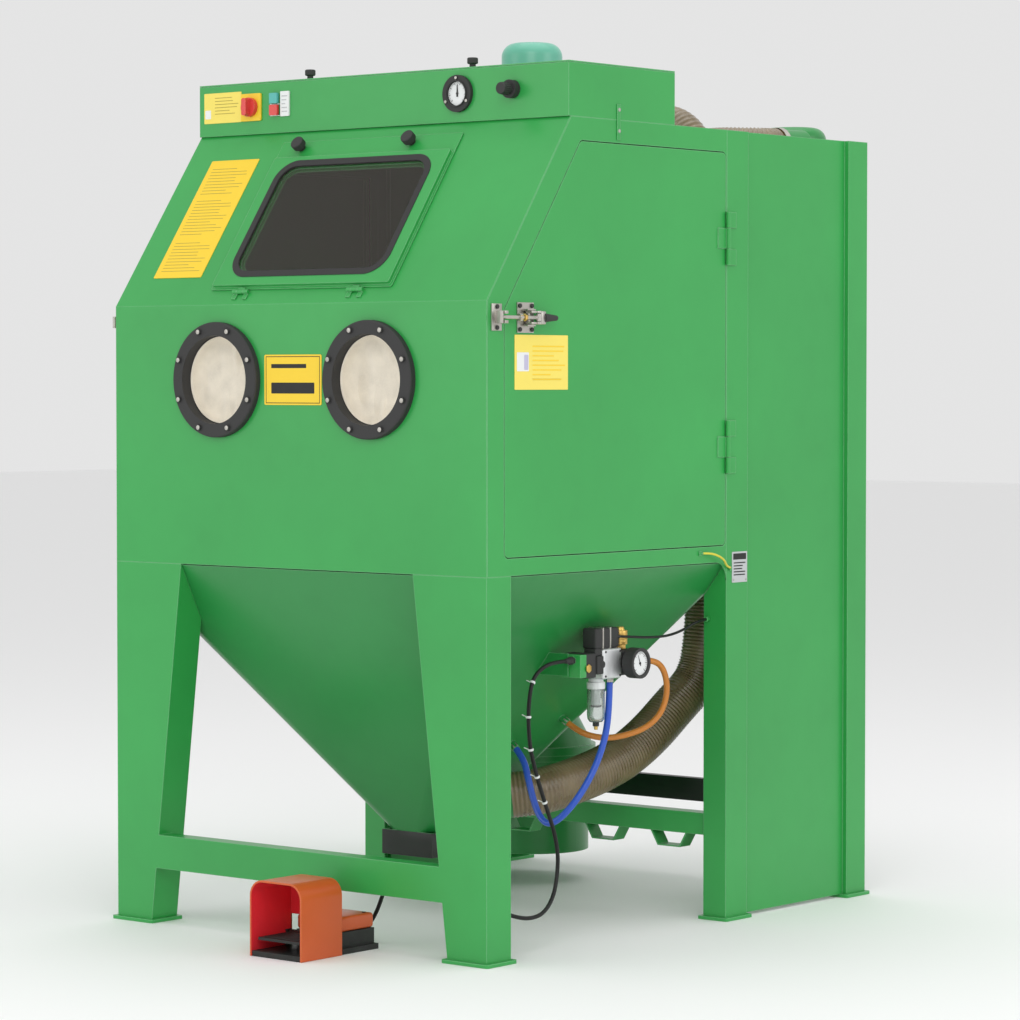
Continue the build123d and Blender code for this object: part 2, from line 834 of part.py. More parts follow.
with BuildPart() as latch_hook_right:
    with BuildSketch(Plane.XY.offset(latch_height - 8)):
        with Locations((rod_x, back(rod_back))):
            Circle(6)
    extrude(amount=16)
    with BuildSketch(facing_front(rod_back)):
        with Locations((rod_x, latch_height)):
            Circle(rod_radius)
    extrude(amount=rod_back - 20)
    with BuildSketch(facing_front(lock_nut_back)):
        with Locations((rod_x, latch_height)):
            RegularPolygon(8.5, 6)
    extrude(amount=9)
    with BuildSketch(Plane.XY.offset(latch_height - 13)):
        with Locations((rod_x, back(19.5))):
            Circle(4.5)
    extrude(amount=26)
    with BuildSketch(Plane.XY.offset(latch_height - 8)):
        with Locations((rod_x, back(rod_back))):
            Circle(2.5 + running_clearance)
    extrude(amount=16, mode=Mode.SUBTRACT)
finish(latch_hook_right, "latch_hook_right")

for right_piece, left_name in (
    (latch_base_right, "latch_base_left"),
    (latch_lever_right, "latch_lever_left"),
    (latch_hook_right, "latch_hook_left"),
):
    with BuildPart() as left_piece:
        mirror(right_piece.part, about=Plane.YZ)
    finish(left_piece, left_name)

earth_barrel_radius = 2.8
earth_lugs = [(741.0, 842.0), (857.0, 804.0)]

with BuildPart() as fixed_hardware:
    for level in hinge_levels:
        low, high = level - hinge_height / 2, level + hinge_height / 2
        with BuildSketch(Plane.XY.offset(low)):
            with Locations((hinge_axis_x, hinge_axis_y)):
                Circle(hinge_pin_radius)
        extrude(amount=hinge_height)
        for share_low in (low, high - knuckle_share):
            with BuildSketch(Plane.XY.offset(share_low)):
                with Locations((hinge_axis_x, hinge_axis_y)):
                    Circle(hinge_knuckle_radius)
            extrude(amount=knuckle_share)
            block(
                (half, half + leaf_thickness),
                (hinge_axis_y, hinge_axis_y + 34),
                (share_low, share_low + knuckle_share),
            )
    keeper_low, keeper_high = latch_height - 28, latch_height + 28
    block((half, half + 3), (back(14), back(46)), (keeper_low, keeper_high))
    block(
        (half + 3, rod_x + 6),
        (back(keeper_back[0]), back(keeper_back[1])),
        (latch_height - 13, latch_height + 13),
    )
    block(
        (rod_x - rod_radius - slot_relief, rod_x + 7),
        (back(keeper_back[0] - 1), back(keeper_back[1] + 1)),
        (latch_height - rod_radius - slot_room, latch_height + rod_radius + slot_room),
        mode=Mode.SUBTRACT,
    )
    mirror(fixed_hardware.part, about=Plane.YZ)
    for last, (lug_depth, lug_z) in enumerate(earth_lugs):
        stub(*hose_end("earth_wire", last=bool(last)), earth_barrel_radius, 4)
        block((half, half + 3.5), (back(lug_depth), back(lug_depth + 8)), (lug_z - 5, lug_z + 5))
    stub(*hose_end("control_cable", last=True), 6, 8)
    block((268, 282), (back(rail_depth), back(52)), (148, 162))
    for hinge_x in window_hinges:
        hinge_rod(window_pin_radius, hinge_x - 22, hinge_x + 22)
        for low_x in (hinge_x - 22, hinge_x + 10):
            hinge_rod(window_knuckle, low_x, low_x + 12)
            with BuildSketch(slope_plane(0)):
                with Locations((low_x + 6, window_pin_low - 8)):
                    Rectangle(12, 20)
            extrude(amount=3)
finish(fixed_hardware, "fixed_hardware")

# ---------------------------------------------------------------- top box, lid, lamp
box_top = body_height + top_box_height
lid_axis_y = back(top_box_back + 6.5)
lid_axis_z = box_top - lid_thickness
lid_hinges = (-360.0, 360.0)
gauge_x, gauge_z = 242.0, 1858.0
gauge_barrel = 28.0

with BuildPart() as top_box:
    centre_y, box_length = span(back(top_box_front), back(top_box_back))
    with BuildSketch(Plane.XY.offset(body_height)):
        with Locations((0, centre_y)):
            Rectangle(cabinet_width, box_length)
            Rectangle(
                cabinet_width - 2 * top_box_wall, box_length - 2 * top_box_wall, mode=Mode.SUBTRACT
            )
    extrude(amount=top_box_height - lid_thickness - 0.5)
    with BuildSketch(facing_front(top_box_front)):
        with Locations((gauge_x, gauge_z)):
            Circle(gauge_barrel + 0.5)
    extrude(amount=-top_box_wall, mode=Mode.SUBTRACT)
    block(
        (-half + top_box_wall, half - top_box_wall),
        (back(top_box_front + top_box_wall), back(top_box_front + 26)),
        (body_height, body_height + top_box_wall),
    )
    for hinge_x in lid_hinges:
        for low_x in (hinge_x - 30, hinge_x + 10):
            with BuildSketch(Plane.YZ.offset(low_x)):
                with Locations((lid_axis_y, lid_axis_z)):
                    Circle(5)
            extrude(amount=20)
            block(
                (low_x, low_x + 20),
                (back(top_box_back), back(top_box_back) + 4),
                (lid_axis_z - 22, lid_axis_z),
            )
        with BuildSketch(Plane.YZ.offset(hinge_x - 30)):
            with Locations((lid_axis_y, lid_axis_z)):
                Circle(2)
        extrude(amount=60)
finish(top_box, "top_box")

with BuildPart() as top_lid:
    block(
        (-half, half),
        (back(top_box_front), back(top_box_back)),
        (box_top - lid_thickness, box_top),
    )
    for hinge_x in lid_hinges:
        with BuildSketch(Plane.YZ.offset(hinge_x - 9.5)):
            with Locations((lid_axis_y, lid_axis_z)):
                Circle(5)
        extrude(amount=19)
        block(
            (hinge_x - 9.5, hinge_x + 9.5),
            (back(top_box_back) - 14, lid_axis_y),
            (box_top, box_top + 2),
        )
        with BuildSketch(Plane.YZ.offset(hinge_x - 9.5)):
            with Locations((lid_axis_y, lid_axis_z)):
                Circle(2 + running_clearance)
        extrude(amount=19, mode=Mode.SUBTRACT)
finish(top_lid, "top_lid")

lid_knob_places = [(-228.0, back(304)), (256.0, back(304))]
with BuildPart() as lid_knobs:
    with BuildSketch(Plane.XY.offset(box_top)):
        with Locations(*lid_knob_places):
            Circle(7)
    extrude(amount=9)
    with BuildSketch(Plane.XY.offset(box_top + 9)):
        with Locations(*lid_knob_places):
            Circle(12)
    extrude(amount=14)
    fillet(lid_knobs.edges().filter_by(GeomType.CIRCLE).filter_by(lambda e: e.radius > 10), 3)
finish(lid_knobs, "lid_knobs")

with BuildPart() as lamp:
    block(
        (-lamp_width / 2 - 12, lamp_width / 2 + 12),
        (back(lamp_front - 12), back(lamp_back + 12)),
        (body_height, body_height + 52),
    )
    fillet(lamp.edges().filter_by(Axis.Z), 12)
finish(lamp, "lamp")

# ---------------------------------------------------------------- plates, switches and gauge on the box
plate_thickness = 1.5
control_back = top_box_front
isolator_x, isolator_z = -383.0, 1858.0
buttons_x = -307.0
start_z, stop_z = 1875.0, 1848.0
button_width, button_height = 24.0, 24.0

with BuildPart() as plates:
    with BuildSketch(facing_front(0)):
        with Locations((0, port_height)):
            RectangleRounded(170, 110, 3)
    extrude(amount=plate_thickness)
    with BuildSketch(slope_plane(0)):
        with Locations((-398, 245)):
            RectangleRounded(150, 335, 3)
    extrude(amount=plate_thickness)
    with BuildSketch(facing_front(control_back)):
        with Locations((-475, 1861)):
            Rectangle(119, 70)
    extrude(amount=plate_thickness)
    with BuildSketch(facing_front(control_back)):
        with Locations((isolator_x, isolator_z)):
            RectangleRounded(63, 63, 4)
    extrude(amount=4)
    with BuildSketch(facing_front(control_back)):
        with Locations((-292, (start_z + stop_z) / 2)):
            RectangleRounded(62, 60, 3)
        with Locations(*[(buttons_x, z) for z in (start_z, stop_z)]):
            Rectangle(button_width + 1, button_height + 1, mode=Mode.SUBTRACT)
    extrude(amount=5)
    with BuildSketch(Plane.YZ.offset(half)):
        with Locations((back(897), 806)):
            Rectangle(58, 70)
    extrude(amount=plate_thickness)
finish(plates, "plates")

with BuildPart() as isolator_knob:
    with BuildSketch(facing_front(control_back - 4.5)):
        with Locations((isolator_x, isolator_z)):
            Circle(22)
    extrude(amount=10)
    with BuildSketch(facing_front(control_back - 14.5)):
        with Locations((isolator_x, isolator_z)):
            RectangleRounded(14, 40, 5)
    extrude(amount=14)
finish(isolator_knob, "isolator_knob")

for button_z, button_name in ((start_z, "start_button"), (stop_z, "stop_button")):
    with BuildPart() as button:
        with BuildSketch(facing_front(control_back - 4)):
            with Locations((buttons_x, button_z)):
                RectangleRounded(button_width, button_height, 2)
        extrude(amount=7)
    finish(button, button_name)

with BuildPart() as gauge_body:
    with BuildSketch(facing_front(control_back)):
        with Locations((gauge_x, gauge_z)):
            Circle(40.5)
    extrude(amount=9)
    with BuildSketch(facing_front(control_back)):
        with Locations((gauge_x, gauge_z)):
            Circle(gauge_barrel)
    extrude(amount=-36)
    with BuildSketch(facing_front(control_back - 9)):
        with Locations((gauge_x, gauge_z)):
            Circle(27)
    extrude(amount=-5, mode=Mode.SUBTRACT)
    with BuildSketch(facing_front(control_back - 9)):
        with Locations((gauge_x, gauge_z)):
            with PolarLocations(34, 3, start_angle=90):
                Circle(3)
    extrude(amount=1.5)
finish(gauge_body, "gauge_body")

needle_back = control_back - 5.5
with BuildPart() as gauge_needle:
    with BuildSketch(facing_front(needle_back)):
        with Locations((gauge_x, gauge_z)):
            Circle(3)
        with BuildLine():
            Polyline(
                (gauge_x - 2, gauge_z - 7),
                (gauge_x + 2, gauge_z - 7),
                (gauge_x + 0.7, gauge_z + 20),
                (gauge_x - 0.7, gauge_z + 20),
                close=True,
            )
        make_face()
    extrude(amount=1.2)
finish(gauge_needle, "gauge_needle")

regulator_x, regulator_z = 396.0, 1860.0
with BuildPart() as regulator_knob:
    with BuildSketch(facing_front(control_back - 0.5)):
        with Locations((regulator_x, regulator_z)):
            Circle(20)
    extrude(amount=16)
    with BuildSketch(facing_front(control_back - 16.5)):
        with Locations((regulator_x, regulator_z)):
            Circle(13)
    extrude(amount=28)
    fillet(regulator_knob.edges().filter_by(GeomType.CIRCLE).group_by(Axis.Y)[0], 2)
finish(regulator_knob, "regulator_knob")

# ---------------------------------------------------------------- compressed-air unit under the right side
air_x = (442.0, 492.0)
air_axis_z = 605.0
with BuildPart() as air_unit:
    block((424, 488), (back(394), back(450)), (578, 632))
    block(air_x, (back(450), back(470)), (584, 626))
    block(air_x, (back(470), back(538)), (572, 640))
    block((444, 490), (back(538), back(606)), (576, 634))
    block((452, 490), (back(446), back(528)), (640, 686))
    block((456, 488), (back(446), back(470)), (626, 640))
    with BuildSketch(Plane.XY.offset(634)):
        with Locations((468, back(560))):
            Circle(17)
    extrude(amount=50)
    stub(*hose_end("blue_hose"), nipple_radius, 12)
    stub(*hose_end("orange_hose"), 12, 48)
    stub(*hose_end("pedal_cable", last=True), 9, 30)
    stub(*hose_end("control_cable"), 4, 10)
finish(air_unit, "air_unit")

bowl_x, bowl_back = 455.0, 490.0
with BuildPart() as air_bowl:
    with BuildSketch(Plane.XY.offset(572)):
        with Locations((bowl_x, back(bowl_back))):
            Circle(17)
    extrude(amount=-24)
    with BuildSketch(Plane.XY.offset(548)):
        with Locations((bowl_x, back(bowl_back))):
            Circle(20)
    extrude(amount=-74)
    with BuildSketch(Plane.XY.offset(474)):
        with Locations((bowl_x, back(bowl_back))):
            Circle(8)
    extrude(amount=-16)
    fillet(air_bowl.edges().filter_by(GeomType.CIRCLE).filter_by(
        lambda e: abs(e.center().Z - 474) < 0.1 and e.radius > 15), 8)
finish(air_bowl, "air_bowl")

air_gauge_back = 560.0
with BuildPart() as air_gauge:
    with BuildSketch(Plane.YZ.offset(490)):
        with Locations((back(air_gauge_back), air_axis_z)):
            Circle(14)
    extrude(amount=10)
    with BuildSketch(Plane.YZ.offset(500)):
        with Locations((back(air_gauge_back), air_axis_z)):
            Circle(34)
    extrude(amount=28)
    with BuildSketch(Plane.YZ.offset(528)):
        with Locations((back(air_gauge_back), air_axis_z)):
            Circle(27)
    extrude(amount=-5, mode=Mode.SUBTRACT)
finish(air_gauge, "air_gauge")

# ---------------------------------------------------------------- blast gun inside the chamber
gun_y = back(430)
with BuildPart() as blast_gun:
    with BuildSketch(Plane.YZ.offset(-60)):
        with Locations((gun_y, 862)):
            Circle(24)
    extrude(amount=120)
    with BuildSketch(Plane.YZ.offset(60)):
        with Locations((gun_y, 862)):
            Circle(15)
    extrude(amount=70)
    with BuildSketch(Plane.YZ.offset(130)):
        with Locations((gun_y, 862)):
            Circle(9)
    extrude(amount=40)
    block((-50, -15), (gun_y - 14, gun_y + 14), (825, 850))
    block((-100, -60), (gun_y - 11, gun_y + 11), (850, 874))
finish(blast_gun, "blast_gun")

# ---------------------------------------------------------------- cyclone, drum, fan, motor, dust filter
cyclone_y = back(cyclone_depth)
filter_y = back(filter_depth)


def turned(points, x, y, mode=Mode.ADD):
    """Revolves an outline of (radius, height) points about a vertical axis; used inside a part."""
    with BuildSketch(Plane(origin=(x, y, 0), x_dir=(1, 0, 0), z_dir=(0, -1, 0))) as outline:
        with BuildLine():
            Polyline(*points, close=True)
        make_face()
    revolve(outline.sketch, axis=Axis((x, y, 0), (0, 0, 1)), mode=mode)


def can(x, y, radius, low, high, edge, mode=Mode.ADD):
    """Upright can with a rounded top rim; used inside a part."""
    with BuildSketch(Plane(origin=(x, y, 0), x_dir=(1, 0, 0), z_dir=(0, -1, 0))) as outline:
        with Locations((radius / 2, (low + high) / 2)):
            Rectangle(radius, high - low)
        fillet(outline.vertices().group_by(Axis.Y)[-1].sort_by(Axis.X)[-1], edge)
    revolve(outline.sketch, axis=Axis((x, y, 0), (0, 0, 1)), mode=mode)


ring_low = drum_top + drum_gap
ring_high = ring_low + 20.0
bracket_levels = (1200.0, 1560.0)
inlet_length = 225.0

with BuildPart() as cyclone:
    turned(
        [
            (0, ring_low),
            (drum_radius + 18, ring_low),
            (drum_radius + 18, ring_high),
            (drum_radius + 10, ring_high),
            (cyclone_neck, neck_height),
            (cyclone_radius, cyclone_shoulder),
            (cyclone_radius, cyclone_top),
            (0, cyclone_top),
        ],
        cyclone_x,
        cyclone_y,
    )
    stub(*hose_end("reclaim_hose", last=True), spigot_radius, inlet_length)
    for level in bracket_levels:
        block((cyclone_x - 90, cyclone_x + 90), (back(chamber_depth), cyclone_y - 100), (level, level + 5))
        block(
            (cyclone_x - 90, cyclone_x + 90),
            (back(chamber_depth), back(chamber_depth + 4)),
            (level - 40, level),
        )
    turned(
        [
            (0, ring_low),
            (drum_radius, ring_low),
            (drum_radius, ring_high + 12),
            (cyclone_neck - shell_wall, neck_height),
            (cyclone_radius - shell_wall, cyclone_shoulder),
            (cyclone_radius - shell_wall, cyclone_top - shell_wall),
            (60, cyclone_top - shell_wall),
            (60, cyclone_top),
            (0, cyclone_top),
        ],
        cyclone_x,
        cyclone_y,
        mode=Mode.SUBTRACT,
    )
    stub(
        *hose_end("reclaim_hose", last=True),
        spigot_radius - spigot_wall,
        inlet_length - spigot_wall,
        mode=Mode.SUBTRACT,
    )
finish(cyclone, "cyclone")

with BuildPart() as dust_drum:
    can_places = (cyclone_x, cyclone_y)
    with BuildSketch(Plane.XY.offset(drum_bottom)):
        with Locations(can_places):
            Circle(drum_radius)
    extrude(amount=drum_top - drum_bottom)
    with BuildSketch(Plane.XY.offset(drum_top - 14)):
        with Locations(can_places):
            Circle(drum_radius + 7)
    extrude(amount=14)
    for side in (1, -1):
        handle_x = cyclone_x + side * (drum_radius + 14)
        block(
            (min(handle_x, cyclone_x), max(handle_x, cyclone_x)),
            (cyclone_y - 45, cyclone_y + 45),
            (drum_top - 70, drum_top - 60),
        )
    with BuildSketch(Plane.XY.offset(drum_bottom + shell_wall)):
        with Locations(can_places):
            Circle(drum_radius - shell_wall)
    extrude(amount=drum_top - drum_bottom, mode=Mode.SUBTRACT)
finish(dust_drum, "dust_drum")

fan_low = cyclone_top
fan_top = fan_low + fan_height
fan_outlet = 100.0
shaft_radius = 8.0
with BuildPart() as fan_housing:
    with BuildSketch(Plane.XY.offset(fan_low)):
        with Locations((cyclone_x, cyclone_y)):
            Circle(fan_radius)
    extrude(amount=fan_height)
    stub(*hose_end("duct_hose"), spigot_radius, fan_outlet)
    with BuildSketch(Plane.XY.offset(fan_low)):
        with Locations((cyclone_x, cyclone_y)):
            Circle(fan_radius - shell_wall)
    extrude(amount=fan_height - shell_wall, mode=Mode.SUBTRACT)
    with BuildSketch(Plane.XY.offset(fan_low)):
        with Locations((cyclone_x, cyclone_y)):
            Circle(shaft_radius + 2)
    extrude(amount=fan_height, mode=Mode.SUBTRACT)
    stub(
        *hose_end("duct_hose"),
        spigot_radius - spigot_wall,
        fan_outlet - spigot_wall,
        mode=Mode.SUBTRACT,
    )
finish(fan_housing, "fan_housing")

blade_count = 10
impeller_low = fan_low + 22
with BuildPart() as impeller:
    with BuildSketch(Plane.XY.offset(impeller_low)):
        with Locations((cyclone_x, cyclone_y)):
            Circle(112)
    extrude(amount=3)
    with BuildSketch(Plane.XY.offset(impeller_low)):
        with Locations((cyclone_x, cyclone_y)):
            Circle(24)
    extrude(amount=60)
    with BuildSketch(Plane.XY.offset(impeller_low)):
        with Locations((cyclone_x, cyclone_y)):
            with PolarLocations(67, blade_count):
                Rectangle(88, 3)
    extrude(amount=50)
    with BuildSketch(Plane.XY.offset(impeller_low)):
        with Locations((cyclone_x, cyclone_y)):
            Circle(shaft_radius)
    extrude(amount=fan_top + 14 - impeller_low)
finish(impeller, "impeller")

with BuildPart() as fan_motor:
    can(cyclone_x, cyclone_y, motor_radius, fan_top, motor_top, 34)
    with BuildSketch(Plane.XY.offset(fan_top)):
        with Locations((cyclone_x, cyclone_y)):
            Circle(motor_radius + 18)
    extrude(amount=12)
    block(
        (cyclone_x + 40, cyclone_x + motor_radius + 42),
        (cyclone_y - 45, cyclone_y + 45),
        (fan_top + 70, fan_top + 160),
    )
    with BuildSketch(Plane.XY.offset(fan_top)):
        with Locations((cyclone_x, cyclone_y)):
            Circle(shaft_radius + running_clearance)
    extrude(amount=16, mode=Mode.SUBTRACT)
finish(fan_motor, "fan_motor")

filter_inlet = 58.0
with BuildPart() as filter_housing:
    can(filter_x, filter_y, filter_radius, filter_bottom, filter_top, filter_edge)
    stub(*hose_end("duct_hose", last=True), spigot_radius, filter_inlet)
    for level in (1000.0, 1600.0):
        block((filter_x + 60, step_x), (filter_y - 30, filter_y + 30), (level, level + 5))
    can(
        filter_x,
        filter_y,
        filter_radius - shell_wall,
        filter_bottom + shell_wall,
        filter_top - shell_wall,
        filter_edge - shell_wall,
        mode=Mode.SUBTRACT,
    )
    stub(
        *hose_end("duct_hose", last=True),
        spigot_radius - spigot_wall,
        filter_inlet - spigot_wall,
        mode=Mode.SUBTRACT,
    )
finish(filter_housing, "filter_housing")

cartridge_radius = 62.0
with BuildPart() as filter_cartridge:
    with BuildSketch(Plane.XY.offset(filter_bottom + shell_wall)):
        with Locations((filter_x, filter_y)):
            Circle(cartridge_radius)
            Circle(cartridge_radius - 25, mode=Mode.SUBTRACT)
    extrude(amount=760)
finish(filter_cartridge, "filter_cartridge")

# ---------------------------------------------------------------- foot pedal
pedal_half = pedal_width / 2
tray_inset = pedal_hood_wall + 0.5
pedal_pivot_depth = -85.0
pedal_pivot_z = 38.0
pedal_pin_radius = 4.0
hood_back = pedal_front + pedal_hood_length

with BuildPart() as pedal_base:
    block(
        (pedal_x - pedal_half + tray_inset, pedal_x + pedal_half - tray_inset),
        (back(pedal_front + 2), back(pedal_back)),
        (0, 12),
    )
    block((pedal_x - 58, pedal_x + 58), (back(hood_back), back(pedal_back)), (12, 45))
    for side in (1, -1):
        ear = sorted((pedal_x + side * 64, pedal_x + side * 69))
        block(ear, (back(pedal_pivot_depth - 8), back(pedal_pivot_depth + 8)), (12, 46))
    with BuildSketch(Plane.YZ.offset(pedal_x - 64)):
        with Locations((back(pedal_pivot_depth), pedal_pivot_z)):
            Circle(pedal_pin_radius)
    extrude(amount=128)
    stub(*hose_end("pedal_cable"), 8, 10)
finish(pedal_base, "pedal_base")



def hood_arch(inset, low):
    """Arch section of the pedal hood, drawn on XY with its foot at a height, moved in by inset."""
    with BuildSketch() as arch:
        with Locations((pedal_x, (low + pedal_hood_height - inset) / 2)):
            Rectangle(pedal_width - 2 * inset, pedal_hood_height - inset - low)
        fillet(arch.vertices().group_by(Axis.Y)[-1], 35 - inset)
    return arch.sketch


with BuildPart() as pedal_hood:
    with BuildSketch(facing_front(pedal_front)):
        add(hood_arch(0, 0))
        add(hood_arch(pedal_hood_wall, 0), mode=Mode.SUBTRACT)
    extrude(amount=-pedal_hood_length)
    with BuildSketch(facing_front(hood_back - pedal_hood_wall)):
        add(hood_arch(1, 78))
    extrude(amount=-pedal_hood_wall)
    block(
        (pedal_x - 58, pedal_x + 58),
        (back(hood_back), back(pedal_back)),
        (45, 78),
    )
finish(pedal_hood, "pedal_hood")

with BuildPart() as pedal_treadle:
    block(
        (pedal_x - 60, pedal_x + 60),
        (back(pedal_front + 10), back(pedal_pivot_depth)),
        (pedal_pivot_z - 3, pedal_pivot_z + 3),
    )
    with BuildSketch(Plane.YZ.offset(pedal_x - 60)):
        with Locations((back(pedal_pivot_depth), pedal_pivot_z)):
            Circle(8)
    extrude(amount=120)
    with BuildSketch(Plane.YZ.offset(pedal_x - 60)):
        with Locations((back(pedal_pivot_depth), pedal_pivot_z)):
            Circle(pedal_pin_radius + running_clearance)
    extrude(amount=120, mode=Mode.SUBTRACT)
finish(pedal_treadle, "pedal_treadle")

# ---------------------------------------------------------------- hoses and cables, (x, depth, z) of each turn
for name, (diameter, _) in routes.items():
    points = route_points(name)
    runs = [b - a for a, b in zip(points, points[1:])]
    radii = [
        0.45 * min(a.length, b.length) / tan(radians(a.get_angle(b)) / 2) for a, b in zip(runs, runs[1:])
    ]
    with BuildPart() as cord:
        with BuildLine() as route:
            FilletPolyline(*points, radius=radii)
        with BuildSketch(Plane(origin=points[0], z_dir=runs[0])):
            Circle(diameter / 2)
        sweep(path=route.wires()[0])
    finish(cord, name)
    section = pi * diameter**2 / 4
    print(
        f"{name}: {route.wires()[0].length:.0f} mm long, tightest radius {min(radii):.0f} mm,",
        f"volume over section times length {cord.part.volume / section / route.wires()[0].length:.4f}",
    )
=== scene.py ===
"""Sandblast cabinet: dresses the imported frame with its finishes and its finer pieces. Metres, +Z up."""

import logging
from dataclasses import dataclass
from enum import Enum
from math import cos, pi, radians, sin, tau
from typing import Any, Callable, Iterable, Sequence

import bmesh
import bpy
from mathutils import Matrix, Vector, noise


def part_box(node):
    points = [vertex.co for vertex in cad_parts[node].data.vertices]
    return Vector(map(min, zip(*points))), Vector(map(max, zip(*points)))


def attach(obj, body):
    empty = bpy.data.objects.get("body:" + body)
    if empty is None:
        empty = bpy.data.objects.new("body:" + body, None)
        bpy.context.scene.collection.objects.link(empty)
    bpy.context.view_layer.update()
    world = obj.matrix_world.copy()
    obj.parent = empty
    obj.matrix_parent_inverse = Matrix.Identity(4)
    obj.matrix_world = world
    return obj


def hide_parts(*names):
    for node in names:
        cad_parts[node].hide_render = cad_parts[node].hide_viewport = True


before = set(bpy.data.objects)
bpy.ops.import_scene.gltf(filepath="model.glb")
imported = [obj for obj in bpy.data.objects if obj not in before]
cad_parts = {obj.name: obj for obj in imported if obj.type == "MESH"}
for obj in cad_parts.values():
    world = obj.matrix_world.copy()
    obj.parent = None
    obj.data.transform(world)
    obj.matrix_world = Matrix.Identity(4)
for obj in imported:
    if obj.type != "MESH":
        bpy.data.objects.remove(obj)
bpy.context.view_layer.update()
log = logging.getLogger("sandblast_cabinet")

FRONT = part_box("front_panel")[0].y
KNEE = 1.398
PORTS = (-0.226, 0.226)  # across, to the middle of each glove port
PORT_Z = 1.232
LATCH_Z = 1.363
SIDES = (("right", 1), ("left", -1))
UP = Vector((0, 0, 1))
SLOPE = (0.5754, 0.8179)  # back and up along the slanted face, for each metre of it


def at(x: float, depth: float, z: float) -> Vector:
    """Place at a depth behind the front face."""
    return Vector((x, FRONT + depth, z))


def on_slope(x: float, up: float, rise: float) -> Vector:
    """Place on the slanted face: x, distance up from the knee, height above the sheet."""
    return at(x, up * SLOPE[0] - rise * SLOPE[1], KNEE + up * SLOPE[1] + rise * SLOPE[0])


# ------------------------------------------------------------------------------------------ shader writing


class Term:
    """Socket in a shader expression; arithmetic on it adds Math nodes."""

    def __init__(self, tree: "Tree", socket: Any) -> None:
        """Wraps a socket of the tree."""
        self.tree = tree
        self.socket = socket

    def _math(self, operation: str, first: Any, second: Any) -> "Term":
        """Adds one Math node and returns its result."""
        node = self.tree.node("ShaderNodeMath", {"operation": operation}, {0: first, 1: second})
        return Term(self.tree, node.outputs[0])

    def __add__(self, other: Any) -> "Term":
        """Sum."""
        return self._math("ADD", self, other)

    __radd__ = __add__

    def __sub__(self, other: Any) -> "Term":
        """Difference."""
        return self._math("SUBTRACT", self, other)

    def __rsub__(self, other: Any) -> "Term":
        """Difference from a number."""
        return self._math("SUBTRACT", other, self)

    def __mul__(self, other: Any) -> "Term":
        """Product."""
        return self._math("MULTIPLY", self, other)

    __rmul__ = __mul__


class Tree:
    """Material made node by node around one Principled shader."""

    def __init__(self, name: str) -> None:
        """Starts an empty material.

        Args:
            name: what the material is called.
        """
        self.material = bpy.data.materials.new(name)
        self.material.use_nodes = True
        self.nodes = self.material.node_tree.nodes
        self.links = self.material.node_tree.links
        self.shader = self.nodes["Principled BSDF"]
        self.place = self.node("ShaderNodeTexCoord").outputs["Object"]

    def node(self, kind: str, settings: dict | None = None, inputs: dict | None = None) -> Any:
        """Adds a node.

        Args:
            kind: the node's type.
            settings: values set on the node itself, first.
            inputs: values, terms or sockets for its inputs.

        Returns:
            The node.
        """
        node = self.nodes.new(kind)
        for name, value in (settings or {}).items():
            setattr(node, name, value)
        for name, value in (inputs or {}).items():
            self.feed(node.inputs[name], value)
        return node

    def feed(self, socket: Any, value: Any) -> None:
        """Links a socket, or sets its value."""
        if isinstance(value, Term):
            value = value.socket
        if isinstance(value, bpy.types.NodeSocket):
            self.links.new(value, socket)
        else:
            socket.default_value = value

    def set(self, **values: Any) -> None:
        """Sets the shader's own inputs, with _ for a space in their names."""
        for name, value in values.items():
            self.feed(self.shader.inputs[name.replace("_", " ")], value)

    def noise(self, scale: float, detail: float = 3.0, stretch: Sequence[float] = (1, 1, 1)) -> Term:
        """Noise from 0 to 1 on the piece's own place, per metre, stretched along an axis."""
        place = self.node("ShaderNodeMapping", None, {"Vector": self.place, "Scale": stretch}).outputs[0]
        node = self.node(
            "ShaderNodeTexNoise", None, {"Vector": place, "Scale": scale, "Detail": detail}
        )
        return Term(self, node.outputs["Fac"])

    def ramp(self, factor: Term, low: float, high: float) -> Term:
        """Factor spread from 0 at low to 1 at high."""
        node = self.node("ShaderNodeMapRange", None, {0: factor, 1: low, 2: high, 3: 0.0, 4: 1.0})
        return Term(self, node.outputs[0])

    def mix(self, factor: Any, first: Any, second: Any) -> Term:
        """Colour between two colours."""
        node = self.node("ShaderNodeMix", {"data_type": "RGBA"}, {0: factor, 6: first, 7: second})
        return Term(self, node.outputs[2])

    def edges(self, radius: float) -> tuple[Term, Any]:
        """Mask that is 1 along sharp edges, and the normal rounded over them."""
        rounded = self.node("ShaderNodeBevel", {"samples": 4}, {"Radius": radius}).outputs[0]
        plain = self.node("ShaderNodeNewGeometry").outputs["Normal"]
        dot = self.node("ShaderNodeVectorMath", {"operation": "DOT_PRODUCT"}, {0: rounded, 1: plain})
        return self.ramp(1.0 - Term(self, dot.outputs["Value"]), 0.004, 0.14), rounded

    def bump(self, height: Term, depth: float, normal: Any = None) -> None:
        """Raises the surface by a height field of that depth, in metres."""
        inputs = {"Height": height, "Distance": depth, "Strength": 1.0}
        if normal is not None:
            inputs["Normal"] = normal
        self.set(Normal=self.node("ShaderNodeBump", None, inputs).outputs[0])


def rgba(color: Sequence[float], gain: float = 1.0) -> tuple[float, float, float, float]:
    """Colour with an alpha of 1, brightened by a gain."""
    return (min(color[0] * gain, 1.0), min(color[1] * gain, 1.0), min(color[2] * gain, 1.0), 1.0)


# ------------------------------------------------------------------------------------------ finishes


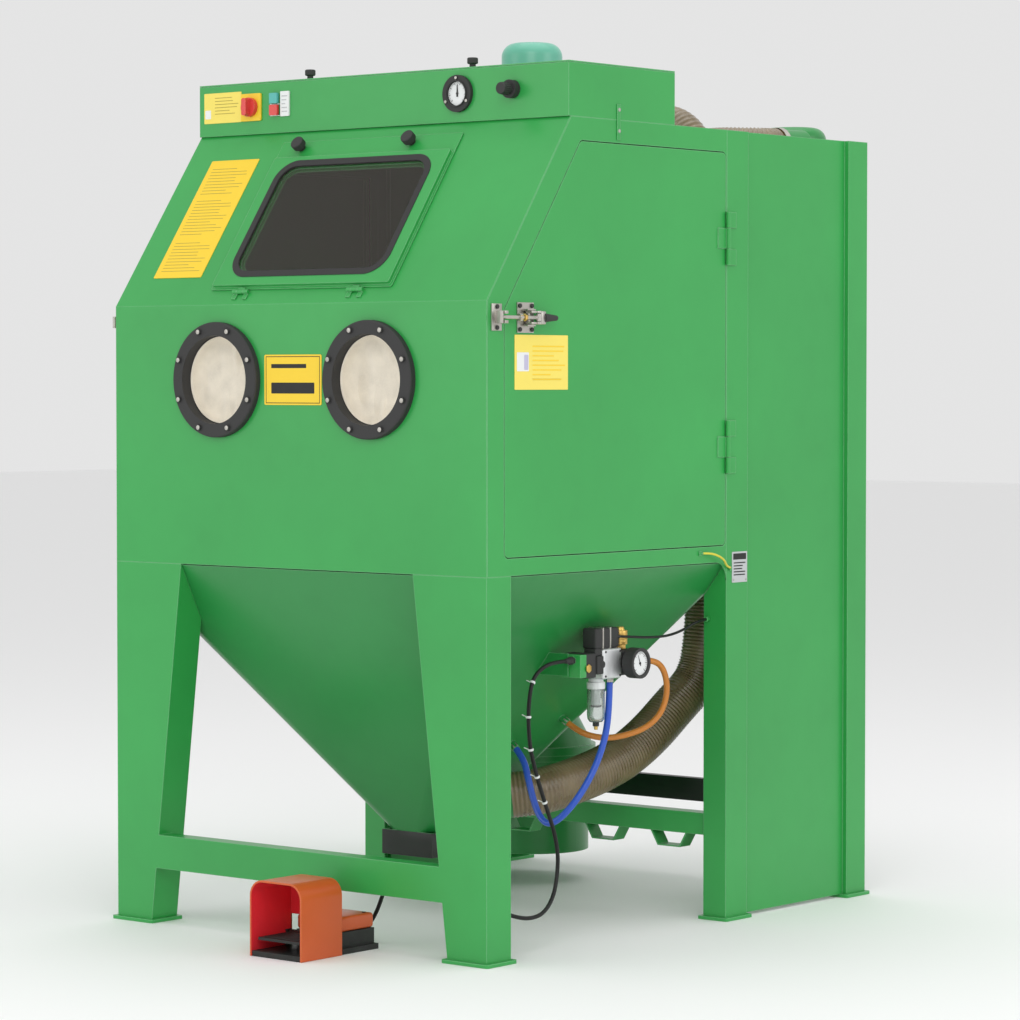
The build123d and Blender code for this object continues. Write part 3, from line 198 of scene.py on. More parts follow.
@dataclass(frozen=True)
class PowderCoat:
    """Baked powder paint: soft orange peel, slight clouding, and a painted highlight that makes it paler
    along folds and edges.
    """

    name: str
    color: tuple[float, float, float]
    roughness: float = 0.36
    # Pale colour laid along edges and folds as a painted highlight.
    edge: tuple[float, float, float] = (0.24, 0.60, 0.30)
    edge_radius: float = 0.003
    peel: float = 0.00006

    def make(self) -> bpy.types.Material:
        """Writes the material."""
        tree = Tree(self.name)
        cloud = tree.noise(2.4, 4.0)
        grime = tree.noise(21.0, 5.0)
        peel = tree.noise(420.0, 2.0)
        edge, rounded = tree.edges(self.edge_radius)
        base = tree.mix(tree.ramp(cloud, 0.3, 0.7), rgba(self.color, 0.93), rgba(self.color, 1.07))
        base = tree.mix(tree.ramp(grime, 0.45, 0.85) * 0.12, base, rgba(self.color, 0.7))
        # Painted highlight: the edge mask blends the colour towards the pale edge colour along sharp edges
        # and folds.
        tree.set(Base_Color=tree.mix(edge * 0.8, base, rgba(self.edge)))
        tree.set(Roughness=self.roughness + 0.1 * grime - 0.04 * cloud)
        tree.set(Coat_Weight=0.18, Coat_Roughness=0.22)
        tree.bump(peel + 0.3 * grime, self.peel, rounded)
        return tree.material


@dataclass(frozen=True)
class Metal:
    """Bare or plated metal with fine scratches along one axis and dulled patches."""

    name: str
    color: tuple[float, float, float]
    roughness: float = 0.3
    grain: tuple[float, float, float] = (1.0, 1.0, 12.0)
    stain: tuple[float, float, float] = (0.25, 0.22, 0.18)

    def make(self) -> bpy.types.Material:
        """Writes the material."""
        tree = Tree(self.name)
        scratch = tree.noise(260.0, 6.0, self.grain)
        patch = tree.noise(35.0, 4.0)
        edge, rounded = tree.edges(0.0008)
        base = tree.mix(tree.ramp(patch, 0.5, 0.8) * 0.5, rgba(self.color), rgba(self.stain))
        tree.set(Base_Color=tree.mix(edge * 0.4, base, rgba(self.color, 1.25)), Metallic=1.0)
        tree.set(Roughness=self.roughness + 0.22 * patch + 0.08 * scratch)
        tree.bump(scratch, 0.00002, rounded)
        return tree.material


@dataclass(frozen=True)
class Moulded:
    """Moulded plastic or rubber: fine grain, dusty in patches, paler along its edges."""

    name: str
    color: tuple[float, float, float]
    roughness: float = 0.45
    grain: float = 900.0
    depth: float = 0.00004
    dust: float = 0.15
    coat: float = 0.0

    def make(self) -> bpy.types.Material:
        """Writes the material."""
        tree = Tree(self.name)
        grain = tree.noise(self.grain, 2.0)
        dust = tree.ramp(tree.noise(45.0, 5.0), 0.45, 0.8)
        edge, rounded = tree.edges(0.0007)
        pale = tuple(0.8 * channel + 0.045 for channel in self.color)
        base = tree.mix(dust * self.dust, rgba(self.color), rgba(pale))
        tree.set(Base_Color=tree.mix(edge * 0.3, base, rgba(pale, 1.2)))
        tree.set(Roughness=self.roughness + 0.12 * dust, Coat_Weight=self.coat, Specular_IOR_Level=0.35)
        tree.bump(grain, self.depth, rounded)
        return tree.material


@dataclass(frozen=True)
class Glazing:
    """Dark safety glass behind a film of dust, or clear plastic that lets light through."""

    name: str
    color: tuple[float, float, float]
    clear: float = 0.0
    roughness: float = 0.07

    def make(self) -> bpy.types.Material:
        """Writes the material."""
        tree = Tree(self.name)
        film = tree.ramp(tree.noise(9.0, 5.0), 0.35, 0.8)
        swirl = tree.noise(60.0, 4.0)
        tree.set(Base_Color=tree.mix(film * 0.35, rgba(self.color), rgba(self.color, 1.8)))
        tree.set(Roughness=self.roughness + 0.1 * film + 0.03 * swirl)
        tree.set(Transmission_Weight=self.clear, IOR=1.49)
        if not self.clear:
            tree.set(Specular_IOR_Level=0.12)
        return tree.material


@dataclass(frozen=True)
class Woven:
    """Heavy cotton or suede: a fine weave over soft clouding, with blast dust in the hollows."""

    name: str
    color: tuple[float, float, float]
    threads: float = 1400.0

    def make(self) -> bpy.types.Material:
        """Writes the material."""
        tree = Tree(self.name)
        across = tree.noise(self.threads, 1.0, (1.0, 1.0, 0.2))
        along = tree.noise(self.threads, 1.0, (0.2, 1.0, 1.0))
        cloud = tree.noise(24.0, 5.0)
        weave = across * along
        base = tree.mix(tree.ramp(cloud, 0.3, 0.75), rgba(self.color), rgba(self.color, 0.78))
        tree.set(Base_Color=tree.mix(tree.ramp(weave, 0.15, 0.35) * 0.3, base, rgba(self.color, 1.12)))
        tree.set(Roughness=0.85 - 0.08 * cloud, Sheen_Weight=0.25, Sheen_Roughness=0.5)
        tree.bump(weave + 0.5 * cloud, 0.0004)
        return tree.material


@dataclass(frozen=True)
class HoseWall:
    """Soft see-through hose: warm light in the wall, dust inside, dark between its ribs."""

    name: str
    color: tuple[float, float, float]
    glow: tuple[float, float, float]

    def make(self) -> bpy.types.Material:
        """Writes the material."""
        tree = Tree(self.name)
        dust = tree.ramp(tree.noise(14.0, 5.0), 0.3, 0.75)
        streak = tree.noise(90.0, 3.0)
        tree.set(Base_Color=tree.mix(dust * 0.7, rgba(self.color), rgba(self.glow)))
        tree.set(Roughness=0.24 + 0.14 * dust, Coat_Weight=0.4, Coat_Roughness=0.12)
        tree.set(Subsurface_Weight=0.15, Subsurface_Radius=(0.006, 0.004, 0.002))
        tree.bump(streak, 0.0002)
        return tree.material


GREEN = (0.028, 0.350, 0.068)


class Finish(Enum):
    """Every finish on the cabinet."""

    BODY = PowderCoat("body_powder_coat", GREEN)
    # The body's green powder coat made darker: painted shade on the hopper and the units under and behind the
    # chamber.
    HOPPER = PowderCoat("green_coat_painted_shade", (0.017, 0.255, 0.052), 0.33)
    # Black paint for painted shadow on the back cross beam and round the hopper's outlet.
    OUTLET = PowderCoat("painted_shadow_black", (0.012, 0.014, 0.012), 0.5, (0.05, 0.06, 0.05))
    MOTOR = PowderCoat("motor_enamel", (0.13, 0.47, 0.34), 0.28, (0.3, 0.62, 0.5), 0.0012)
    HOOD = PowderCoat("pedal_enamel", (0.62, 0.10, 0.018), 0.34, (0.85, 0.24, 0.05), 0.0014)
    HOOD_INSIDE = PowderCoat("pedal_inside_red", (0.85, 0.03, 0.045), 0.4, (0.6, 0.05, 0.03), 0.001)
    ZINC = Metal("zinc_plate", (0.52, 0.50, 0.46), 0.28)
    STEEL = Metal("bare_steel", (0.42, 0.41, 0.40), 0.4)
    BRASS = Metal("brass", (0.72, 0.47, 0.14), 0.24, (1.0, 1.0, 6.0), (0.35, 0.2, 0.06))
    ALUMINIUM = Metal("cast_aluminium", (0.74, 0.75, 0.76), 0.34, (1.0, 1.0, 1.0), (0.5, 0.5, 0.5))
    BLACK = Moulded("black_plastic", (0.006, 0.006, 0.007), 0.34)
    RUBBER = Moulded("black_rubber", (0.005, 0.005, 0.005), 0.6, 600.0, 0.00008, 0.08)
    CABLE = Moulded("cable_sheath", (0.008, 0.008, 0.008), 0.42)
    TREADLE = Moulded("treadle_black", (0.02, 0.022, 0.02), 0.5, 300.0, 0.0002, 0.4)
    RED = Moulded("red_plastic", (0.62, 0.012, 0.02), 0.28, 900.0, 0.00002, 0.05, 0.3)
    SWITCH_TEAL = Moulded("switch_teal", (0.10, 0.46, 0.42), 0.3, 900.0, 0.00002, 0.05)
    WHITE = Moulded("white_plastic", (0.80, 0.82, 0.82), 0.35, 900.0, 0.00002, 0.05)
    YELLOW = Moulded("yellow_foil", (0.90, 0.62, 0.035), 0.38, 120.0, 0.00003, 0.1)
    YELLOW_PALE = Moulded("pale_yellow_foil", (0.90, 0.74, 0.14), 0.38, 120.0, 0.00003, 0.1)
    PLATE_GREY = Moulded("rating_foil", (0.52, 0.54, 0.55), 0.3, 120.0, 0.00002, 0.2)
    INK = Moulded("printed_ink", (0.02, 0.02, 0.02), 0.5, 900.0, 0.00001, 0.0)
    INK_FAINT = Moulded("printed_ink_faint", (0.40, 0.31, 0.05), 0.5, 900.0, 0.00001, 0.0)
    LILAC = Moulded("printed_lilac", (0.52, 0.50, 0.66), 0.5, 900.0, 0.00001, 0.0)
    LAMP = Moulded("lamp_cover", (0.70, 0.70, 0.66), 0.4)
    BLUE_HOSE = Moulded("blue_hose_wall", (0.03, 0.10, 0.56), 0.28, 900.0, 0.00003, 0.1, 0.3)
    ORANGE_HOSE = Moulded("orange_hose_wall", (0.62, 0.22, 0.035), 0.32, 500.0, 0.00005, 0.15, 0.2)
    EARTH = Moulded("earth_yellow", (0.75, 0.55, 0.03), 0.3)
    GLASS = Glazing("dark_glass", (0.006, 0.005, 0.004))
    BOWL = Glazing("clear_bowl", (0.86, 0.90, 0.88), 0.92, 0.04)
    SLEEVE = Woven("sleeve_cloth", (0.90, 0.83, 0.70))
    PAPER = Woven("filter_paper", (0.72, 0.68, 0.56), 500.0)
    HOSE = HoseWall("suction_hose_wall", (0.15, 0.105, 0.052), (0.31, 0.235, 0.13))

    @property
    def material(self) -> bpy.types.Material:
        """The finish as a material, made at its first use."""
        if self.value.name not in bpy.data.materials:
            self.value.make()
        return bpy.data.materials[self.value.name]


# ------------------------------------------------------------------------------------------ mesh making

WELD = 0.00002

class Shape:
    """A piece under construction, in metres, from bmesh operators; each stretch has its own finish."""

    def __init__(self) -> None:
        """Starts empty."""
        self.mesh = bmesh.new()
        self.finishes: list[Finish] = []

    def _dress(self, faces: Iterable[bmesh.types.BMFace], finish: Finish) -> None:
        """Gives new faces their finish."""
        if finish not in self.finishes:
            self.finishes.append(finish)
        for face in faces:
            face.material_index = self.finishes.index(finish)

    def _soften(self, verts: list, finish: Finish, bevel: float, segments: int) -> None:
        """Bevels the sharp edges of newly made verts, and dresses all their faces."""
        edges = {e for v in verts for e in v.link_edges if e.calc_face_angle(0.0) > radians(28)}
        faces = {f for v in verts for f in v.link_faces}
        if bevel:
            made = bmesh.ops.bevel(
                self.mesh, geom=list(edges), offset=bevel, offset_type="OFFSET", affect="EDGES",
                segments=segments, profile=0.5, material=-1, clamp_overlap=True,
            )
            faces = {f for f in faces if f.is_valid} | set(made["faces"])
            faces |= {n for f in list(faces) for e in f.edges for n in e.link_faces}
        self._dress(faces, finish)

    def box(self, low: Vector, high: Vector, finish: Finish, bevel: float = 0.0008,
            segments: int = 2) -> None:
        """Block between two corners, with softened edges."""
        made = bmesh.ops.create_cube(self.mesh, size=1.0)
        verts = made["verts"]
        bmesh.ops.scale(self.mesh, verts=verts, vec=high - low)
        bmesh.ops.translate(self.mesh, verts=verts, vec=(low + high) / 2)
        self._soften(verts, finish, bevel, segments)

    def plate(self, place: Callable, half: Sequence[float], thick: float, finish: Finish,
              corner: float = 0.003, centre: Sequence[float] = (0.0, 0.0)) -> None:
        """Thin plate with rounded corners on a surface.

        Args:
            place: turns (across, up, rise) into a point.
            half: half the plate's width and height.
            thick: its thickness.
            finish: what it is finished in.
            corner: the corners' radius.
            centre: the plate's middle, across and up.
        """
        made = bmesh.ops.create_cube(self.mesh, size=2.0)
        verts = made["verts"]
        for v in verts:
            v.co = (v.co.x * half[0] + centre[0], v.co.y * half[1] + centre[1], (v.co.z + 1) / 2 * thick)
        edges = {e for v in verts for e in v.link_edges}
        rims = [e for e in edges if abs(e.verts[0].co.z - e.verts[1].co.z) > thick / 2]
        made = bmesh.ops.bevel(
            self.mesh, geom=rims, offset=corner, offset_type="OFFSET", affect="EDGES",
            segments=5, profile=0.5, material=-1, clamp_overlap=True,
        )
        faces = set(made["faces"]) | {n for f in made["faces"] for e in f.edges for n in e.link_faces}
        for v in {v for f in faces for v in f.verts}:
            v.co = place(*v.co)
        self._dress(faces, finish)

    def rod(self, start: Vector, end: Vector, radius: float, finish: Finish, far: float | None = None,
            sides: int = 40, bevel: float = 0.0006) -> None:
        """Round or hexagonal bar, or a cone, between two points, with softened rims."""
        run = end - start
        made = bmesh.ops.create_cone(
            self.mesh, cap_ends=True, cap_tris=False, segments=sides, radius1=radius,
            radius2=radius if far is None else far, depth=run.length,
        )
        turn = run.to_track_quat("Z", "Y").to_matrix().to_4x4()
        bmesh.ops.transform(
            self.mesh, matrix=Matrix.Translation((start + end) / 2) @ turn, verts=made["verts"]
        )
        faces = {f for v in made["verts"] for f in v.link_faces}
        if bevel:
            rims = {e for f in faces if len(f.verts) > 4 for e in f.edges}
            new = bmesh.ops.bevel(
                self.mesh, geom=list(rims), offset=bevel, offset_type="OFFSET", affect="EDGES",
                segments=2, profile=0.5, material=-1, clamp_overlap=True,
            )
            faces = {f for f in faces if f.is_valid} | set(new["faces"])
            faces |= {n for f in new["faces"] for e in f.edges for n in e.link_faces}
        self._dress(faces, finish)

    def stud(self, spot: Vector, run: Sequence[float], radius: float, finish: Finish, sides: int = 20,
             bevel: float = 0.0006) -> None:
        """Short bar that stands out from a spot by a run."""
        self.rod(spot, spot + Vector(run), radius, finish, sides=sides, bevel=bevel)

    def rods(self, *rows: tuple) -> None:
        """Bars from rows of (start, end, radius, finish) and then far, sides and bevel, if given."""
        for start, end, *rest in rows:
            self.rod(at(*start), at(*end), *rest)

    def boxes(self, *rows: tuple) -> None:
        """Blocks from rows of (low, high, finish) and then bevel and segments, if given."""
        for low, high, *rest in rows:
            self.box(at(*low), at(*high), *rest)

    def lathe(self, profile: Sequence[tuple[float, float]], origin: Vector, axis: Vector, finish: Finish,
              steps: int = 64) -> None:
        """Turned piece: an outline of (radius, distance along the axis) spun right round."""
        turn = axis.to_track_quat("Z", "Y").to_matrix().to_4x4()
        verts = [self.mesh.verts.new((max(r, 0.0), 0.0, z)) for r, z in profile]
        edges = [self.mesh.edges.new(pair) for pair in zip(verts, verts[1:])]
        made = bmesh.ops.spin(
            self.mesh, geom=verts + edges, cent=(0, 0, 0), axis=(0, 0, 1), angle=tau, steps=steps,
            use_merge=True, use_duplicate=False,
        )
        stack = verts + [v for v in made["geom_last"] if isinstance(v, bmesh.types.BMVert)]
        faces: set = set()
        while stack:
            for face in stack.pop().link_faces:
                if face not in faces:
                    faces.add(face)
                    stack.extend(face.verts)
        every = list({v for f in faces for v in f.verts})
        bmesh.ops.transform(self.mesh, matrix=Matrix.Translation(origin) @ turn, verts=every)
        self._dress(faces, finish)
        bmesh.ops.remove_doubles(self.mesh, verts=every, dist=WELD)

    def ring(self, centre: Vector, axis: Vector, radius: float, wire: float, finish: Finish,
             flat: float = 1.0) -> None:
        """Round band about an axis, its section wire thick and flat times as wide."""
        turns = [tau * k / 10 for k in range(11)]
        section = [(radius + wire * cos(turn), wire * flat * sin(turn)) for turn in turns]
        self.lathe(section, centre, axis, finish, 36)

    def done(self, name: str, body: str, replaces: Sequence[str] = (),
             smooth: float = 32.0) -> bpy.types.Object:
        """Ends the piece and hangs it on its CAD body.

        Args:
            name: the piece's name.
            body: the CAD body that it rides on.
            replaces: CAD nodes that it stands for.
            smooth: the angle below which edges shade smooth, in degrees.

        Returns:
            The object.
        """
        bmesh.ops.recalc_face_normals(self.mesh, faces=self.mesh.faces[:])
        data = bpy.data.meshes.new(name)
        self.mesh.to_mesh(data)
        self.mesh.free()
        data.polygons.foreach_set("use_smooth", [True] * len(data.polygons))
        data.set_sharp_from_angle(angle=radians(smooth))
        piece = bpy.data.objects.new(name, data)
        bpy.context.scene.collection.objects.link(piece)
        for finish in self.finishes:
            data.materials.append(finish.material)
        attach(piece, body)
        if replaces:
            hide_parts(*replaces)
        log.info("%s rides on %s", name, body)
        return piece


def dress(finish: Finish, *nodes: str) -> None:
    """Gives CAD nodes a finish."""
    for node in nodes:
        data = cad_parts[node].data
        data.materials.clear()
        data.materials.append(finish.material)
        log.info("%s in %s", node, finish.value.name)


# ------------------------------------------------------------------------------------------ cords


@dataclass
class Cord:
    """A free hose or cable on one smooth curve.

    Args:
        name: the CAD node that it replaces.
        route: its control points, as (x, depth, z).
        diameter: its diameter.
        finish: its finish.
        slot: a slot name, not used.
        stiffness: how stiff it is, not used.
        ribs: the pitch of its ribs, or 0 for a smooth one.
        sides: how many sides a ribbed one has.
    """

    name: str
    route: Sequence[tuple[float, float, float]]
    diameter: float
    finish: Finish
    slot: str
    stiffness: str = "medium"
    ribs: float = 0.0
    sides: int = 40

    def curve(self, name: str) -> bpy.types.Object:
        """Curve object along the route."""
        data = bpy.data.curves.new(name, "CURVE")
        data.dimensions = "3D"
        data.resolution_u = 12
        spline = data.splines.new("NURBS")
        spline.points.add(len(self.route) - 1)
        for point, place in zip(spline.points, self.route):
            point.co = (*at(*place), 1.0)
        spline.order_u = 3
        spline.use_endpoint_u = True
        piece = bpy.data.objects.new(name, data)
        bpy.context.scene.collection.objects.link(piece)
        return piece

    def line(self) -> list[Vector]:
        """Points along the curve, close together."""
        bare = self.curve(self.name + "_line")
        mesh = bpy.data.meshes.new_from_object(bare)
        points = [v.co.copy() for v in mesh.vertices]
        bpy.data.objects.remove(bare)
        bpy.data.meshes.remove(mesh)
        return points

    @staticmethod
    def spaced(points: Sequence[Vector], step: float) -> list[Vector]:
        """The same line with even steps."""
        out = [points[0].copy()]
        left = step
        for a, b in zip(points, points[1:]):
            run = (b - a).length
            gone = 0.0
            while run - gone >= left:
                gone += left
                out.append(a.lerp(b, gone / run))
                left = step
            left -= run - gone
        out.append(points[-1].copy())
        return out

    def length(self, points: Sequence[Vector]) -> float:
        """Length of a line of points."""
        return sum((b - a).length for a, b in zip(points, points[1:]))

    def build(self) -> bpy.types.Object:
        """Returns:
            The cord's object.
        """
        points = self.line()
        length = self.length(points)
        path = None
        if self.ribs:
            path = self.spaced(points, self.ribs / 4)
            piece = self._ribbed(path)
        else:
            piece = self.curve(self.name)
            piece.name = self.name + "_cord"
            piece.data.bevel_depth = self.diameter / 2
            piece.data.bevel_resolution = 6
            piece.data.use_fill_caps = True
            piece.data.materials.append(self.finish.material)
            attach(piece, "cabinet")
        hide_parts(self.name)
        at(*self.route[0])
        log.info("%s: %.2f m of cord", self.name, length)
        return piece

    def _ribbed(self, path: Sequence[Vector]) -> bpy.types.Object:
        """Ribbed tube wall around a path."""
        shape = Shape()
        shape.finishes.append(self.finish)
        outer = self.diameter / 2 - 0.0002
        depths = (0.0, 0.0014, 0.0026, 0.0014)
        ahead = (path[1] - path[0]).normalized()
        side = ahead.orthogonal().normalized()
        last: list = []
        for k, here in enumerate(path):
            run = (path[min(k + 1, len(path) - 1)] - path[max(k - 1, 0)]).normalized()
            side = (side - run * side.dot(run)).normalized()
            other = run.cross(side)
            radius = outer - depths[k % 4]
            loop = [
                shape.mesh.verts.new(
                    here + radius * (side * cos(tau * i / self.sides) + other * sin(tau * i / self.sides))
                )
                for i in range(self.sides)
            ]
            for i in range(self.sides) if last else ():
                j = (i + 1) % self.sides
                shape.mesh.faces.new((last[i], last[j], loop[j], loop[i]))
            if k in (0, len(path) - 1):
                shape.mesh.faces.new(loop)
            last = loop
        return shape.done(self.name + "_cord", "cabinet", smooth=80)


def metres(*places: tuple[int, int, int]) -> list[tuple[float, ...]]:
    """Route in metres from its (x, depth, z) in millimetres."""
    return [tuple(value / 1000 for value in place) for place in places]


RECLAIM = metres(
    (205, 500, 294), (236, 526, 298), (258, 566, 305), (272, 620, 315), (288, 710, 335), (298, 800, 365),
    (308, 885, 412), (322, 960, 475), (345, 1020, 530), (352, 1040, 640), (352, 1045, 800),
    (348, 1040, 960), (345, 1032, 1120), (348, 1024, 1280), (349, 1012, 1440), (350, 1002, 1560),
    (353, 993, 1650), (357, 988, 1728), (350, 986, 1764), (329, 985, 1795), (298, 985, 1816),
    (262, 986, 1823), (214, 988, 1816), (160, 992, 1800), (98, 997, 1774), (40, 1002, 1735),
    (-10, 1010, 1680),
)
DUCT = metres(
    (-108, 1223, 1716), (-40, 1232, 1720), (30, 1240, 1729), (92, 1228, 1742), (142, 1192, 1754),
    (190, 1150, 1763), (240, 1120, 1768), (295, 1105, 1771), (338, 1103, 1772), (376, 1113, 1772),
    (409, 1136, 1771), (433, 1168, 1770), (445, 1205, 1770),
)
BLUE = metres(
    (466, 525, 562), (466, 523, 500), (463, 514, 440), (455, 495, 385), (443, 470, 335), (425, 445, 292),
    (400, 428, 260), (372, 424, 247), (345, 428, 262), (320, 436, 298), (298, 446, 342), (275, 458, 384),
    (250, 462, 404),
)
ORANGE = metres(
    (466, 652, 603), (464, 692, 600), (460, 728, 582), (454, 752, 548), (446, 760, 508), (436, 748, 470),
    (420, 718, 443), (396, 676, 428), (368, 640, 422), (338, 615, 428), (312, 603, 440), (290, 598, 455),
)
PEDAL = metres(
    (130, 57, 30), (131, 80, 32), (138, 98, 46), (152, 104, 74), (172, 96, 106), (198, 80, 132),
    (232, 66, 148), (275, 58, 155), (320, 56, 157), (365, 62, 152), (400, 80, 142), (436, 104, 122),
    (464, 134, 100), (480, 172, 82), (488, 218, 72), (487, 268, 78), (478, 312, 108), (468, 338, 152),
    (467, 342, 200), (466, 330, 248), (466, 308, 292), (466, 285, 340), (467, 262, 390), (466, 246, 440),
    (466, 240, 495), (467, 242, 545), (466, 256, 588), (467, 288, 610), (466, 328, 618), (466, 367, 618),
)
CONTROL = metres(
    (486, 536, 664), (491, 566, 662), (490, 612, 658), (486, 665, 655), (485, 720, 656), (487, 770, 666),
    (496, 808, 684), (499, 838, 687),
)
EARTH = metres(
    (554, 752, 842), (558, 768, 842), (564, 785, 839), (568, 802, 832), (566, 818, 824), (560, 832, 815),
    (556, 844, 809), (554, 856, 806),
)


@dataclass
class Hoses:
    """Every hose and cable, with the clamps and ties on them."""

    clamp: float = 0.0545
    tie: float = 0.0052
    tie_shares: tuple[float, ...] = (0.69, 0.74, 0.79, 0.845, 0.905)

    def build(self) -> None:
        """Makes them all."""
        reclaim = Cord("reclaim_hose", RECLAIM, 0.106, Finish.HOSE, "hose_brown", "stiff", 0.0088)
        duct = Cord("duct_hose", DUCT, 0.106, Finish.HOSE, "hose_brown", "stiff", 0.0088)
        pedal = Cord("pedal_cable", PEDAL, 0.009, Finish.CABLE, "cable_black")
        cords = [
            reclaim,
            duct,
            Cord("blue_hose", BLUE, 0.015, Finish.BLUE_HOSE, "hose_blue"),
            Cord("orange_hose", ORANGE, 0.014, Finish.ORANGE_HOSE, "hose_orange"),
            pedal,
            Cord("control_cable", CONTROL, 0.006, Finish.CABLE, "cable_black"),
            Cord("earth_wire", EARTH, 0.005, Finish.EARTH, "earth_yellow"),
        ]
        for cord in cords:
            cord.build()
        self.clamps(reclaim, duct)
        self.ties(pedal)

    def clamps(self, *hoses: Cord) -> None:
        """Band clamps with their screw housings: on both ends of the duct hose, one end of the other."""
        shape = Shape()
        for hose in hoses:
            line = hose.spaced(hose.line(), 0.004)
            ends = [(line[-4], line[-6])] + ([(line[3], line[5])] if hose.name == "duct_hose" else [])
            for near, inner in ends:
                axis = (inner - near).normalized()
                inside = self.clamp - 0.0012
                profile = [(inside, -0.006), (self.clamp, -0.006), (self.clamp, 0.006), (inside, 0.006)]
                shape.lathe(profile, near, axis, Finish.ZINC, 72)
                side = axis.cross(UP).normalized()
                spot = near + side * (self.clamp + 0.002)
                up = axis.cross(side)
                shape.rod(spot - up * 0.011, spot + up * 0.011, 0.0042, Finish.ZINC, sides=6)
        shape.done("hose_clamps", "cabinet")

    def ties(self, cable: Cord) -> None:
        """White ties round the cable where it climbs to the valve."""
        shape = Shape()
        line = cable.spaced(cable.line(), 0.004)
        for share in self.tie_shares:
            k = int(share * (len(line) - 2))
            axis = (line[k + 1] - line[k]).normalized()
            shape.ring(line[k], axis, self.tie, 0.0011, Finish.WHITE, 2.4)
            side = axis.cross(Vector((0, 1, 0))).normalized()
            start = line[k] + side * 0.005
            shape.rod(start, start + side * 0.013 + axis * 0.004, 0.0012, Finish.WHITE, sides=8, bevel=0)
        shape.done("cable_ties", "cabinet")


# ------------------------------------------------------------------------------------------ sub-assemblies


class Chamber:
    """Folded cabinet, legs, hopper, doors, lid and their small trim."""

    def build(self) -> None:
        """Dresses the sheet work and adds the trim."""
        dress(
            Finish.BODY, "front_panel", "front_frame", "side_frame_right", "side_frame_left",
            "chamber_back", "bay_side_right", "bay_side_left", "foot_plates", "window_frame",
            "door_right", "door_left", "top_box", "top_lid", "bay_beams",
        )
        # Painted shade: the darker copy of the body's green coat on the hopper, cyclone, fan and filter
        # housings and dust drum.
        dress(Finish.HOPPER, "hopper", "cyclone", "fan_housing", "filter_housing", "dust_drum")
        dress(Finish.STEEL, "floor_grate")
        dress(Finish.ALUMINIUM, "blast_gun", "impeller")
        dress(Finish.RUBBER, "door_seals", "window_gasket")
        dress(Finish.BLACK, "glove_rings", "lid_knobs", "window_knob_left", "window_knob_right")
        dress(Finish.GLASS, "window_glass")
        dress(Finish.LAMP, "lamp")
        dress(Finish.PAPER, "filter_cartridge")
        dress(Finish.BODY, "fixed_hardware")
        self.screws()
        self.strap()
        self.keepers()
        self.painted_shadow_sheets()

    def screws(self) -> None:
        """Screw heads round the glove rings."""
        circle, face = 0.1148, -0.0205
        shape = Shape()
        for x in PORTS:
            for k in range(8):
                angle = radians(22.5 + 45 * k)
                spot = at(x + circle * cos(angle), face, PORT_Z + circle * sin(angle))
                shape.stud(spot, (0, -0.0012, 0), 0.0052, Finish.ZINC, 24, 0.0004)
        shape.done("ring_screw_heads", "cabinet")

    def keepers(self) -> None:
        """Plated forks that the latch rods drop into."""
        skin = 0.00025
        boxes = (
            ((0.5500, 0.5532), (0.0138, 0.0462), (-0.0282, 0.0282)),
            ((0.5530, 0.5642), (0.0248, 0.0352), (-0.0132, 0.0132)),
            ((0.5640, 0.5802), (0.0248, 0.0352), (0.0068, 0.0132)),
            ((0.5640, 0.5802), (0.0248, 0.0352), (-0.0132, -0.0068)),
        )
        for name, k in SIDES:
            shape = Shape()
            for across, depth, up in boxes:
                low, high = sorted((k * across[0], k * across[1]))
                shape.boxes((
                    (low, depth[0] - skin, LATCH_Z + up[0]), (high, depth[1] + skin, LATCH_Z + up[1]),
                    Finish.ZINC, 0.0004,
                ))
            shape.done(f"keeper_{name}", "cabinet")

    def painted_shadow_sheets(self) -> None:
        """Thin black sheets laid over the cross beam at the back and round the outlet under the hopper:
        painted shadow where these lie in shade.
        """
        shape = Shape()
        shape.boxes(
            ((-0.5340, 1.3842, 0.1897), (0.5340, 1.4095, 0.2463), Finish.OUTLET, 0.0004),
            ((-0.0752, 0.3748, 0.1515), (0.0752, 0.3764, 0.2076), Finish.OUTLET, 0.0003),
            ((0.0742, 0.3760, 0.1515), (0.0754, 0.5240, 0.2076), Finish.OUTLET, 0.0003),
        )
        shape.done("painted_shadow_sheets", "cabinet")

    def strap(self) -> None:
        """Green tab across the joint between the box and the roof, on the right."""
        shape = Shape()
        shape.boxes(((0.5502, 0.44, 1.752), (0.5525, 0.452, 1.83), Finish.BODY, 0.0006))
        for z in (1.772, 1.818):
            shape.rods(((0.5524, 0.446, z), (0.5545, 0.446, z), 0.004, Finish.ZINC, None, 20))
        shape.done("box_strap", "cabinet")


